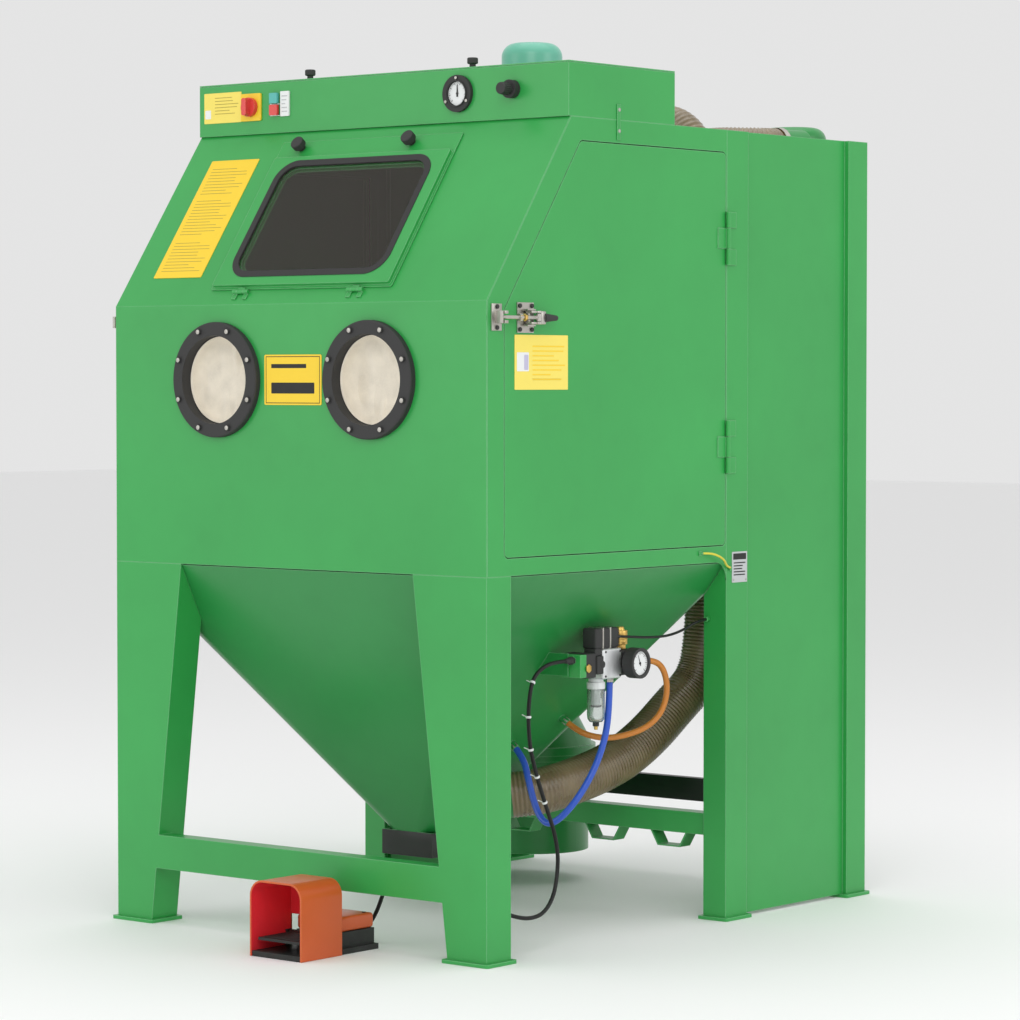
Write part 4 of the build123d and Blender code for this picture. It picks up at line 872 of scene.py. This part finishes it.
@dataclass
class Gloves:
    """Cloth sleeves drawn through the two ports, each with its glove inside the chamber."""

    steps: int = 96
    profile: tuple[tuple[float, float], ...] = (
        (0.0955, 0.010), (0.0952, 0.018), (0.0942, 0.026), (0.0915, 0.033), (0.086, 0.038),
        (0.076, 0.041), (0.064, 0.043), (0.052, 0.045), (0.040, 0.047), (0.028, 0.049),
        (0.016, 0.0505), (0.006, 0.051), (0.0, 0.051),
    )

    def fold(self, x: float, z: float, radius: float, seed: float) -> float:
        """How far the cloth stands out of its plain shape at a place."""
        spread = min(radius / 0.05, 1.0) * max(0.0, min(1.0, (0.096 - radius) / 0.02))
        drape = noise.noise(Vector((x * 13 + seed, z * 5, seed)))
        crease = noise.noise(Vector((x * 34, z * 11 + seed, seed * 2)))
        pleat = sin(x * 150 + 6 * drape + seed) * (0.6 + 0.4 * drape)
        return (0.014 * drape + 0.005 * crease + 0.007 * pleat) * spread

    def build(self) -> None:
        """Makes both sleeves and the gloves behind them."""
        shape = Shape()
        for seed, x in enumerate(PORTS):
            centre = at(x, 0.0, PORT_Z)
            known = set(shape.mesh.verts)
            shape.lathe(self.profile, centre, Vector((0, 1, 0)), Finish.SLEEVE, self.steps)
            for v in set(shape.mesh.verts) - known:
                dx, dz = v.co.x - centre.x, v.co.z - centre.z
                v.co.y += self.fold(dx, dz, (dx * dx + dz * dz) ** 0.5, 3.1 + 7.7 * seed)
        sleeve = shape.done("sleeve_fronts", "cabinet", ("gloves",), 60)
        wall = sleeve.modifiers.new("cloth", "SOLIDIFY")
        wall.thickness = 0.0012
        wall.offset = 1.0
        self.hands()

    def hands(self) -> None:
        """Sleeve tubes and rubber gloves that hang into the chamber."""
        shape = Shape()
        path = (
            (0.088, 0.050, 0.0), (0.080, 0.090, -0.004), (0.070, 0.130, -0.010), (0.060, 0.170, -0.018),
            (0.050, 0.205, -0.024),
        )
        palm = PORT_Z - 0.028
        for x in PORTS:
            for (r0, y0, z0), (r1, y1, z1) in zip(path, path[1:]):
                shape.rods(((x, y0, PORT_Z + z0), (x, y1, PORT_Z + z1), r0, Finish.SLEEVE, r1, 48, 0.003))
            shape.boxes((
                (x - 0.042, 0.200, palm - 0.018), (x + 0.042, 0.262, palm + 0.018), Finish.RUBBER, 0.014, 5,
            ))
            for k, reach in enumerate((0.300, 0.312, 0.308, 0.292)):
                fx = x - 0.031 + 0.0205 * k
                shape.rods(
                    ((fx, 0.255, palm), (fx, reach, palm - 0.006), 0.0098, Finish.RUBBER, 0.0085, 20, 0.004)
                )
            thumb = 1 if x > 0 else -1
            shape.rods((
                (x - thumb * 0.036, 0.222, palm), (x - thumb * 0.064, 0.252, palm - 0.006),
                0.0115, Finish.RUBBER, 0.0095, 20, 0.004,
            ))
        shape.done("glove_hands", "cabinet", smooth=50)


@dataclass
class Labels:
    """Foil plates, with plain bars where printing would be."""

    thick: float = 0.0012
    ink: float = 0.00012

    def wall(self, depth: float) -> Callable:
        """Placing on an upright face that looks to the front."""
        return lambda across, up, rise: at(across, depth - rise, up)

    def side(self, x: float) -> Callable:
        """Placing on the right-hand side; across runs back."""
        return lambda across, up, rise: at(x + rise, across, up)

    def bars(self, shape: Shape, place: Callable, centre: Sequence[float], half: Sequence[float],
             rows: int, finish: Finish, fill: float = 0.34) -> None:
        """Rows of plain bars of uneven length over an area."""
        pitch = 2 * half[1] / rows
        for k in range(rows):
            share = 0.55 + 0.45 * abs(sin(2.3 * k + centre[0] * 40))
            up = centre[1] + half[1] - (k + 0.5) * pitch
            reach = half[0] * share
            shape.plate(
                place, (reach, pitch * fill / 2), self.thick + self.ink, finish, 0.0002,
                (centre[0] - half[0] + reach, up),
            )

    def plates(self, shape: Shape, place: Callable, *rows: tuple) -> None:
        """Plates from rows of (half, coats of ink on it, finish, corner, centre)."""
        for half, coats, finish, corner, centre in rows:
            shape.plate(place, half, self.thick + coats * self.ink, finish, corner, centre)

    def build(self) -> None:
        """Makes every plate."""
        front, box, side = self.wall(0.0), self.wall(0.274), self.side(0.55)
        shape = Shape()
        self.plates(
            shape, front,
            ((0.085, 0.055), 0, Finish.YELLOW, 0.004, (0.0, PORT_Z)),
            ((0.080, 0.0008), 1, Finish.INK, 0.0002, (0.0, PORT_Z + 0.0505)),
            ((0.080, 0.0008), 1, Finish.INK, 0.0002, (0.0, PORT_Z - 0.0505)),
            ((0.0008, 0.050), 1, Finish.INK, 0.0002, (-0.0795, PORT_Z)),
            ((0.0008, 0.050), 1, Finish.INK, 0.0002, (0.0795, PORT_Z)),
            ((0.052, 0.0045), 1, Finish.INK, 0.001, (-0.012, 1.262)),
            ((0.064, 0.012), 1, Finish.INK, 0.002, (0.0, 1.214)),
        )
        shape.done("name_plate", "cabinet", ("plates",))

        shape = Shape()
        self.plates(shape, on_slope, ((0.075, 0.1675), 0, Finish.YELLOW, 0.003, (-0.398, 0.245)))
        for up, reach, rows in ((0.352, 0.040, 9), (0.248, 0.052, 12), (0.136, 0.044, 10)):
            self.bars(shape, on_slope, (-0.398, up), (0.060, reach), rows, Finish.INK_FAINT, 0.16)
        shape.done("instruction_plate", "cabinet")

        shape = Shape()
        self.plates(shape, box, ((0.0595, 0.035), 0, Finish.YELLOW_PALE, 0.002, (-0.475, 1.861)))
        self.bars(shape, box, (-0.462, 1.866), (0.038, 0.022), 6, Finish.INK_FAINT, 0.2)
        self.plates(shape, box, ((0.009, 0.010), 1, Finish.WHITE, 0.001, (-0.522, 1.847)))
        shape.plate(box, (0.0315, 0.0315), 0.004, Finish.YELLOW, 0.004, (-0.383, 1.858))
        shape.done("isolator_plates", "cabinet")

        shape = Shape()
        shape.plate(box, (0.0135, 0.0285), 0.0045, Finish.WHITE, 0.002, (-0.2765, 1.8615))
        for up in (1.8486, 1.8746):
            shape.plate(box, (0.0145, 0.0008), 0.0046, Finish.WHITE, 0.0002, (-0.3070, up - 0.0131))
        self.bars(shape, lambda a, u, r: box(a, u, r + 0.0034), (-0.2765, 1.8615), (0.009, 0.022), 5,
                  Finish.PLATE_GREY, 0.3)
        shape.done("button_bezel", "cabinet")

        shape = Shape()
        self.plates(
            shape, side,
            ((0.029, 0.035), 0, Finish.PLATE_GREY, 0.002, (0.897, 0.806)),
            ((0.025, 0.007), 1, Finish.INK, 0.001, (0.897, 0.830)),
        )
        self.bars(shape, side, (0.897, 0.802), (0.023, 0.017), 5, Finish.INK, 0.4)
        for across in (-0.024, 0.024):
            depth = 0.897 + across
            shape.rods(
                ((0.5512, depth, 0.777), (0.5524, depth, 0.777), 0.002, Finish.ZINC, None, 16, 0.0003)
            )
        shape.done("rating_plate", "cabinet")

        shape = Shape()
        self.plates(
            shape, side,
            ((0.0895, 0.058), 0, Finish.YELLOW_PALE, 0.002, (0.1805, 1.269)),
            ((0.020, 0.020), 1, Finish.WHITE, 0.002, (0.118, 1.270)),
            ((0.007, 0.016), 2, Finish.LILAC, 0.003, (0.129, 1.269)),
        )
        self.bars(shape, side, (0.205, 1.268), (0.055, 0.040), 8, Finish.YELLOW, 0.3)
        shape.done("door_label", "door_right")


@dataclass
class Latches:
    """Toggle latch on each door: forked lever with a black grip, screws, brass nuts on the rod."""

    pivot: tuple[float, float] = (0.562, 0.125)
    rod: tuple[float, float] = (0.574, 0.143)

    def build(self) -> None:
        """Makes both latches."""
        for name, k in SIDES:
            dress(Finish.ZINC, f"latch_base_{name}", f"latch_hook_{name}")
            self.lever(name, k)
            self.fittings(name, k)

    def lever(self, name: str, k: int) -> None:
        """Forked lever, its pins and its tapered grip."""
        shape = Shape()
        pivot, rod = (k * self.pivot[0], self.pivot[1]), (k * self.rod[0], self.rod[1])
        for z0, z1 in ((LATCH_Z + 0.0092, LATCH_Z + 0.0142), (LATCH_Z - 0.0142, LATCH_Z - 0.0092)):
            shape.boxes(((k * 0.565 - 0.009, 0.120, z0), (k * 0.565 + 0.009, 0.152, z1), Finish.ZINC, 0.0015))
            shape.rods(
                ((*pivot, z0 - 0.0003), (*pivot, z1 + 0.0003), 0.0052, Finish.ZINC, None, 24),
                ((*rod, z0), (*rod, z1), 0.0062, Finish.ZINC, None, 24),
            )
        low, high = (k * 0.568 - 0.006, 0.152, LATCH_Z - 0.0142), (k * 0.568 + 0.006, 0.169, LATCH_Z + 0.0142)
        shape.boxes((low, high, Finish.ZINC, 0.003))
        start, end = at(k * 0.568, 0.164, LATCH_Z), at(k * 0.567, 0.2125, LATCH_Z)
        shape.rod(start, end, 0.0098, Finish.BLACK, 0.0056, 28, 0.003)
        shape.rod(start, start + Vector((0, 0.006, 0)), 0.0112, Finish.BLACK, 0.0108, 28, 0.001)
        lever = f"latch_lever_{name}"
        shape.done(f"{lever}_forged", lever, (lever,))

    def fittings(self, name: str, k: int) -> None:
        """Screw heads on the base and keeper, and the nuts on the rod."""
        for piece, body, depths, dz in (
            (f"latch_screws_{name}", f"door_{name}", (0.105, 0.145), 0.025),
            (f"keeper_screws_{name}", "cabinet", (0.030,), 0.022),
        ):
            shape = Shape()
            for depth in depths:
                for z in (LATCH_Z - dz, LATCH_Z + dz):
                    shape.stud(at(k * 0.553, depth, z), (k * 0.0035, 0, 0), 0.0048, Finish.BLACK, 24, 0.001)
            shape.done(piece, body)
        nuts = Shape()
        for depth in (0.0765, 0.092):
            nuts.stud(at(k * self.rod[0], depth, LATCH_Z), (0, 0.008, 0), 0.0078, Finish.BRASS, 6, 0.0007)
        nuts.done(f"latch_nuts_{name}", f"latch_hook_{name}")


@dataclass
class Controls:
    """Knobs, buttons and the pressure gauge on the box."""

    gauge: tuple[float, float] = (0.242, 1.858)
    ticks: int = 28

    def build(self) -> None:
        """Dresses the switches and fits the gauge's dial and rim."""
        dress(Finish.RED, "isolator_knob", "stop_button")
        dress(Finish.SWITCH_TEAL, "start_button")
        dress(Finish.BLACK, "gauge_body", "gauge_needle", "regulator_knob")
        x, z = self.gauge
        shape = Shape()
        shape.lathe([(0.0, 0.0), (0.0262, 0.0), (0.0262, 0.0007), (0.0, 0.0007)],
                    at(x, 0.2699, z), Vector((0, -1, 0)), Finish.WHITE)
        for k in range(self.ticks + 1):
            angle = radians(225 - 270 * k / self.ticks)
            long = k % 4 == 0
            ray = Vector((cos(angle), 0, sin(angle)))
            hub = at(x, 0.2690, z)
            foot, wide = (0.0195, 0.00055) if long else (0.0218, 0.0003)
            shape.rod(hub + ray * foot, hub + ray * 0.0248, wide, Finish.INK, sides=6, bevel=0)
        shape.done("gauge_dial", "cabinet")
        shape = Shape()
        shape.lathe([(0.0270, 0.0), (0.0292, 0.0), (0.0292, 0.003), (0.0270, 0.003), (0.0270, 0.0)],
                    at(x, 0.265, z), Vector((0, -1, 0)), Finish.BLACK, 72)
        for k in range(3):
            angle = radians(90 + 120 * k)
            spot = at(x + 0.034 * cos(angle), 0.2635, z + 0.034 * sin(angle))
            shape.stud(spot, (0, -0.0018, 0), 0.0036, Finish.ZINC)
        shape.done("gauge_rim", "cabinet")
        self.grips()

    def grips(self) -> None:
        """Flutes round the regulator knob."""
        shape = Shape()
        for k in range(18):
            angle = tau * k / 18
            x, z = 0.396 + 0.0126 * cos(angle), 1.860 + 0.0126 * sin(angle)
            shape.rod(at(x, 0.255, z), at(x, 0.2345, z), 0.0012, Finish.BLACK, sides=8, bevel=0.0003)
        shape.done("regulator_flutes", "regulator_knob")


@dataclass
class AirUnit:
    """Valve, filter, regulator, gauge and bowl hung from the hopper's bracket."""

    gauge: tuple[float, float] = (0.560, 0.605)

    def build(self) -> None:
        """Makes the unit's pieces."""
        self.valve()
        self.regulator()
        self.bowl()
        self.dial()

    def valve(self) -> None:
        """Black valve block, its coil, its glands and the brass silencer."""
        shape = Shape()
        shape.boxes(
            ((0.424, 0.414, 0.578), (0.488, 0.450, 0.632), Finish.BLACK, 0.003, 3),
            ((0.426, 0.394, 0.580), (0.4875, 0.416, 0.6305), Finish.BODY, 0.0015, 2),
            ((0.4505, 0.446, 0.6405), (0.4895, 0.528, 0.686), Finish.BLACK, 0.005, 4),
            ((0.456, 0.446, 0.626), (0.488, 0.470, 0.641), Finish.BLACK, 0.001),
            ((0.4495, 0.470, 0.6395), (0.4905, 0.470 + 0.004, 0.6868), Finish.ZINC, 0.0006),
            ((0.4495, 0.496, 0.6395), (0.4905, 0.496 + 0.004, 0.6868), Finish.ZINC, 0.0006),
            ((0.462, 0.530, 0.6430), (0.482, 0.538, 0.6800), Finish.BLACK, 0.001),
        )
        shape.rods(
            ((0.468, 0.560, 0.634), (0.468, 0.560, 0.646), 0.0125, Finish.BRASS, None, 6),
            ((0.468, 0.560, 0.645), (0.468, 0.560, 0.676), 0.0165, Finish.BRASS),
        )
        for z in (0.651, 0.657, 0.663, 0.669):
            shape.ring(at(0.468, 0.560, z), UP, 0.0162, 0.0007, Finish.BRASS)
        shape.rods(
            ((0.468, 0.560, 0.675), (0.468, 0.560, 0.6838), 0.0110, Finish.BRASS, 0.008),
            ((0.4885, 0.420, 0.600), (0.4915, 0.420, 0.600), 0.0098, Finish.BRASS, None, 6),
            ((0.4665, 0.394, 0.618), (0.4662, 0.380, 0.618), 0.0088, Finish.BLACK, None, 6),
            ((0.4662, 0.381, 0.618), (0.4660, 0.3672, 0.618), 0.0072, Finish.BLACK, 0.0052),
            ((0.4860, 0.5355, 0.664), (0.4842, 0.5285, 0.664), 0.0038, Finish.BLACK, None, 20),
        )
        shape.done("air_valve", "cabinet", ("air_unit",))

    def regulator(self) -> None:
        """Cast regulator and filter heads, their ports and the white elbow."""
        shape = Shape()
        shape.boxes(
            ((0.4425, 0.449, 0.585), (0.4915, 0.472, 0.625), Finish.BLACK, 0.002),
            ((0.4420, 0.470, 0.572), (0.4920, 0.537, 0.640), Finish.ALUMINIUM, 0.006, 4),
        )
        for depth in (0.4685, 0.5385):
            for z in (0.606, 0.598, 0.614):
                radius = 0.0082 - abs(z - 0.606)
                shape.rods(((0.478, depth, z), (0.4921, depth, z), radius, Finish.BLACK, None, 20))
        shape.boxes(((0.4445, 0.536, 0.577), (0.4895, 0.605, 0.633), Finish.BLACK, 0.006, 4))
        shape.rods(
            ((0.466, 0.604, 0.604), (0.466, 0.630, 0.6035), 0.0118, Finish.WHITE, None, 6),
            ((0.466, 0.628, 0.6035), (0.466, 0.6518, 0.603), 0.0112, Finish.WHITE, 0.0095),
            ((0.466, 0.525, 0.573), (0.466, 0.525, 0.5625), 0.0088, Finish.ZINC, None, 6),
        )
        for depth, z in ((0.478, 0.579), (0.529, 0.579), (0.478, 0.633), (0.529, 0.633)):
            shape.rods(((0.4916, depth, z), (0.4932, depth, z), 0.0026, Finish.BLACK, None, 16, 0.0003))
        for end, run in (
            (at(0.250, 0.462, 0.404), Vector((-25, 4, 20)).normalized()),
            (at(0.290, 0.598, 0.455), Vector((-22, -5, 15)).normalized()),
        ):
            shape.rod(end + run * 0.001, end + run * 0.012, 0.0098, Finish.ZINC, sides=6)
        shape.done("air_regulator", "cabinet")

    def bowl(self) -> None:
        """Clear bowl with its white collar, filter element and drain."""
        base = at(0.455, 0.490, 0.0)
        wall = [
            (0.0186, 0.549), (0.0196, 0.547), (0.0198, 0.492), (0.0185, 0.482), (0.0140, 0.476),
            (0.0060, 0.4745), (0.0, 0.4745), (0.0, 0.4772), (0.0130, 0.479), (0.0165, 0.484),
            (0.0172, 0.492), (0.0170, 0.549), (0.0186, 0.549),
        ]
        collar = [
            (0.0, 0.5718), (0.0168, 0.5718), (0.0168, 0.566), (0.0198, 0.564), (0.0198, 0.5495),
            (0.0, 0.5495),
        ]
        shape = Shape()
        shape.lathe(wall, base, UP, Finish.BOWL)
        shape.done("air_bowl_wall", "cabinet", ("air_bowl",))
        shape = Shape()
        shape.lathe(collar, base, UP, Finish.WHITE)
        shape.rods(
            ((0.455, 0.490, 0.5490), (0.455, 0.490, 0.5120), 0.0098, Finish.WHITE),
            ((0.455, 0.490, 0.5125), (0.455, 0.490, 0.5085), 0.0122, Finish.BLACK),
        )
        for k in range(10):
            angle = tau * k / 10
            spot = base + Vector((0.0192 * cos(angle), 0.0192 * sin(angle), 0.550))
            shape.stud(spot, (0, 0, 0.014), 0.0012, Finish.WHITE, 8, 0)
        shape.rods(
            ((0.455, 0.490, 0.4745), (0.455, 0.490, 0.4660), 0.0072, Finish.BLACK, None, 6),
            ((0.455, 0.490, 0.4665), (0.455, 0.490, 0.4585), 0.0042, Finish.BRASS),
        )
        shape.done("air_bowl_fittings", "cabinet")

    def dial(self) -> None:
        """Pressure gauge that looks to the right."""
        dress(Finish.BLACK, "air_gauge")
        depth, z = self.gauge
        out = Vector((1, 0, 0))
        shape = Shape()
        shape.lathe([(0.0, 0.0), (0.0266, 0.0), (0.0266, 0.0006), (0.0, 0.0006)],
                    at(0.5231, depth, z), out, Finish.WHITE)
        for k in range(25):
            angle = radians(225 - 270 * k / 24)
            ray = Vector((0, cos(angle), sin(angle)))
            hub = at(0.5239, depth, z)
            foot, wide = (0.019, 0.0006) if k % 4 == 0 else (0.0215, 0.0003)
            shape.rod(hub + ray * foot, hub + ray * 0.0248, wide, Finish.INK, sides=6, bevel=0)
        ray = Vector((0, cos(radians(110)), sin(radians(110))))
        hub = at(0.5246, depth, z)
        shape.rod(hub - ray * 0.006, hub + ray * 0.019, 0.0010, Finish.INK, 0.0004, 8, 0)
        shape.rod(hub - out * 0.001, hub + out * 0.0010, 0.003, Finish.INK, sides=20)
        shape.done("air_gauge_dial", "cabinet")


@dataclass
class Motor:
    """Fan motor: finned barrel, domed cowl and terminal box."""

    centre: tuple[float, float] = (-0.250, 1.130)
    radius: float = 0.075
    low: float = 1.790
    top: float = 2.0578
    fins: int = 40

    def build(self) -> None:
        """Makes the motor."""
        x, depth = self.centre
        base = at(x, depth, 0.0)
        shape = Shape()
        shape.lathe([(0.009, self.low + 0.0002), (0.0925, self.low + 0.0002), (0.0925, self.low + 0.010),
                     (0.0905, self.low + 0.012), (0.069, self.low + 0.012), (0.069, self.low + 0.030),
                     (0.0665, self.low + 0.034), (0.0665, self.top - 0.088), (0.0, self.top - 0.088)],
                    base, UP, Finish.MOTOR, 80)
        for k in range(self.fins):
            angle = tau * k / self.fins
            if abs(((angle + pi) % tau) - pi) < 0.62:
                continue
            ray = Vector((cos(angle), sin(angle), 0))
            foot = base + ray * 0.0700
            start = foot + Vector((0, 0, self.low + 0.036))
            shape.stud(start, (0, 0, self.top - self.low - 0.128), 0.0022, Finish.MOTOR, 8, 0)
        cowl = [(0.0722, self.top - 0.094), (0.0748, self.top - 0.092), (0.0748, self.top - 0.034)]
        cowl += [
            (0.0408 + 0.034 * cos(radians(t)), self.top - 0.034 + 0.034 * sin(radians(t)))
            for t in range(10, 91, 10)
        ]
        cowl += [(0.020, self.top), (0.0, self.top)]
        shape.lathe(cowl, base, UP, Finish.MOTOR, 96)
        for radius in (0.012, 0.020, 0.028, 0.036):
            shape.ring(base + Vector((0, 0, self.top - 0.0008)), UP, radius, 0.0008, Finish.MOTOR)
        low, high = (x + 0.062, depth - 0.044, self.low + 0.071), (x + 0.116, depth + 0.044, self.low + 0.159)
        shape.boxes((low, high, Finish.MOTOR, 0.005, 4))
        gland = at(x + 0.09, depth, self.low + 0.072)
        shape.rod(gland, at(x + 0.09, depth, self.low + 0.050), 0.011, Finish.BLACK, sides=6)
        for dy in (-0.036, 0.036):
            for dz in (0.079, 0.151):
                spot = at(x + 0.1158, depth + dy, self.low + dz)
                shape.stud(spot, (0.0012, 0, 0), 0.0035, Finish.ZINC, bevel=0.0004)
        for k in range(6):
            angle = tau * (k + 0.5) / 6
            spot = base + Vector((0.0845 * cos(angle), 0.0845 * sin(angle), self.low + 0.0118))
            shape.stud(spot, (0, 0, 0.006), 0.0055, Finish.ZINC, 6)
        shape.done("fan_motor_finned", "cabinet", ("fan_motor",))


@dataclass
class Pedal:
    """Foot pedal under its orange hood."""

    x: float = 0.130
    half: float = 0.075
    front: float = -0.198
    back: float = -0.070
    height: float = 0.165
    wall: float = 0.004
    corner: float = 0.035

    def build(self) -> None:
        """Makes the hood, and dresses the base and the treadle."""
        dress(Finish.TREADLE, "pedal_base", "pedal_treadle")
        self.hood()
        self.treads()

    def arch(self, inset: float) -> list[tuple[float, float]]:
        """Arch outline from foot to foot, as (across, up)."""
        reach, radius = self.half - inset, self.corner - inset
        top = self.height - inset
        points = [(reach, 0.0006), (reach, 0.05), (reach, top - radius)]
        points += [(reach - radius + radius * cos(radians(t)), top - radius + radius * sin(radians(t)))
                   for t in range(10, 91, 10)]
        points += [(-across, up) for across, up in reversed(points)]
        return points

    def skin(self, shape: Shape, inset: float, front: float, back: float, finish: Finish) -> None:
        """One side of the hood, drawn back from its mouth by an extrusion."""
        verts = [shape.mesh.verts.new(at(self.x + a, front, up)) for a, up in self.arch(inset)]
        edges = [shape.mesh.edges.new(pair) for pair in zip(verts, verts[1:])]
        made = bmesh.ops.extrude_edge_only(shape.mesh, edges=edges)
        moved = [g for g in made["geom"] if isinstance(g, bmesh.types.BMVert)]
        bmesh.ops.translate(shape.mesh, verts=moved, vec=(0, back - front, 0))
        shape._dress([g for g in made["geom"] if isinstance(g, bmesh.types.BMFace)], finish)

    def rim(self, shape: Shape, depth: float, finish: Finish) -> None:
        """Edge of the sheet round the arch, between its two skins."""
        outer = [shape.mesh.verts.new(at(self.x + a, depth, up)) for a, up in self.arch(0.0)]
        inner = [shape.mesh.verts.new(at(self.x + a, depth, up)) for a, up in self.arch(self.wall)]
        faces = [
            shape.mesh.faces.new((outer[k], outer[k + 1], inner[k + 1], inner[k]))
            for k in range(len(outer) - 1)
        ]
        shape._dress(faces, finish)

    def hood(self) -> None:
        """Hood with its red inside, its back wall and the cover over the switch."""
        shape = Shape()
        self.skin(shape, 0.0, self.front, self.back, Finish.HOOD)
        self.skin(shape, self.wall, self.front, self.back - self.wall, Finish.HOOD_INSIDE)
        self.rim(shape, self.front, Finish.HOOD)
        self.rim(shape, self.back, Finish.HOOD)
        bmesh.ops.remove_doubles(shape.mesh, verts=shape.mesh.verts[:], dist=0.00005)
        left, right, back = self.x - self.half, self.x + self.half, self.back - self.wall
        near, eaves = self.back - 0.0004, self.height - self.corner
        shape.boxes(
            ((left + self.wall, back, 0.078), (right - self.wall, near, eaves + 0.012),
             Finish.HOOD_INSIDE, 0.0),
            ((left + 0.018, back, eaves + 0.0115), (right - 0.018, near, self.height - self.wall),
             Finish.HOOD_INSIDE, 0.0),
            ((self.x - 0.058, self.back, 0.0455), (self.x + 0.058, 0.052, 0.078), Finish.HOOD, 0.007, 4),
        )
        for across in (-0.044, 0.044):
            for depth in (-0.045, 0.034):
                spot = at(self.x + across, depth, 0.0778)
                shape.stud(spot, (0, 0, 0.0018), 0.0045, Finish.BLACK, bevel=0.0005)
        shape.done("pedal_hood_shell", "cabinet", ("pedal_hood",))

    def treads(self) -> None:
        """Raised ribs across the treadle."""
        shape = Shape()
        for k in range(9):
            depth = -0.180 + 0.0088 * k
            low, high = (self.x - 0.050, depth, 0.0408), (self.x + 0.050, depth + 0.0032, 0.0428)
            shape.boxes((low, high, Finish.TREADLE, 0.0006))
        shape.done("treadle_ribs", "pedal_treadle")


@dataclass
class Studio:
    """Pale floor, soft lights and the camera."""

    eye: tuple[float, float, float] = (5.356, -6.447, 1.234)
    turn: float = 39.56
    down: float = 2.09
    lens: float = 126.8
    floor: float = 0.93

    def build(self) -> None:
        """Sets the scene."""
        scene = bpy.context.scene
        camera = bpy.data.objects.new("camera", bpy.data.cameras.new("camera"))
        camera.data.lens = self.lens
        camera.data.sensor_width = 36.0
        camera.data.clip_end = 100.0
        camera.location = self.eye
        camera.rotation_euler = (radians(90 - self.down), 0.0, radians(self.turn))
        scene.collection.objects.link(camera)
        scene.camera = camera
        scene.view_settings.view_transform = "Standard"
        self.world()
        self.ground()
        self.lamp("key", (4.2, -5.6, 4.6), 4.0, 120.0)
        self.lamp("side", (7.0, 1.8, 3.4), 3.6, 70.0)
        self.lamp("fill", (-3.6, -5.8, 2.6), 3.4, 40.0)
        self.lamp("top", (0.0, 0.4, 5.4), 4.4, 60.0)

    def world(self) -> None:
        """Even pale surround."""
        world = bpy.data.worlds.new("surround")
        world.use_nodes = True
        inputs = world.node_tree.nodes["Background"].inputs
        inputs["Color"].default_value = (1.0, 1.0, 1.0, 1.0)
        inputs["Strength"].default_value = 0.78
        bpy.context.scene.world = world

    def ground(self) -> None:
        """Plain floor."""
        made = bmesh.new()
        bmesh.ops.create_grid(made, x_segments=2, y_segments=2, size=30.0)
        data = bpy.data.meshes.new("floor")
        made.to_mesh(data)
        made.free()
        floor = bpy.data.objects.new("floor", data)
        bpy.context.scene.collection.objects.link(floor)
        tree = Tree("floor_pale")
        tree.set(Base_Color=(self.floor, self.floor, self.floor, 1.0), Roughness=0.75)
        data.materials.append(tree.material)

    def lamp(self, name: str, place: Sequence[float], size: float, power: float) -> None:
        """Square soft light aimed at the cabinet's middle."""
        data = bpy.data.lights.new(name, "AREA")
        data.size = size
        data.energy = power
        light = bpy.data.objects.new(name, data)
        light.location = place
        aim = Vector((0.0, 0.0, 1.0)) - Vector(place)
        light.rotation_euler = aim.to_track_quat("-Z", "Y").to_euler()
        bpy.context.scene.collection.objects.link(light)


def main() -> None:
    """Builds everything in order."""
    logging.basicConfig(level=logging.INFO, format="%(name)s: %(message)s")
    for kind in (Studio, Hoses, Chamber, Gloves, Labels, Latches, Controls, AirUnit, Motor, Pedal):
        log.info("building %s", kind.__name__)
        kind().build()


if __name__ == "__main__":
    main()
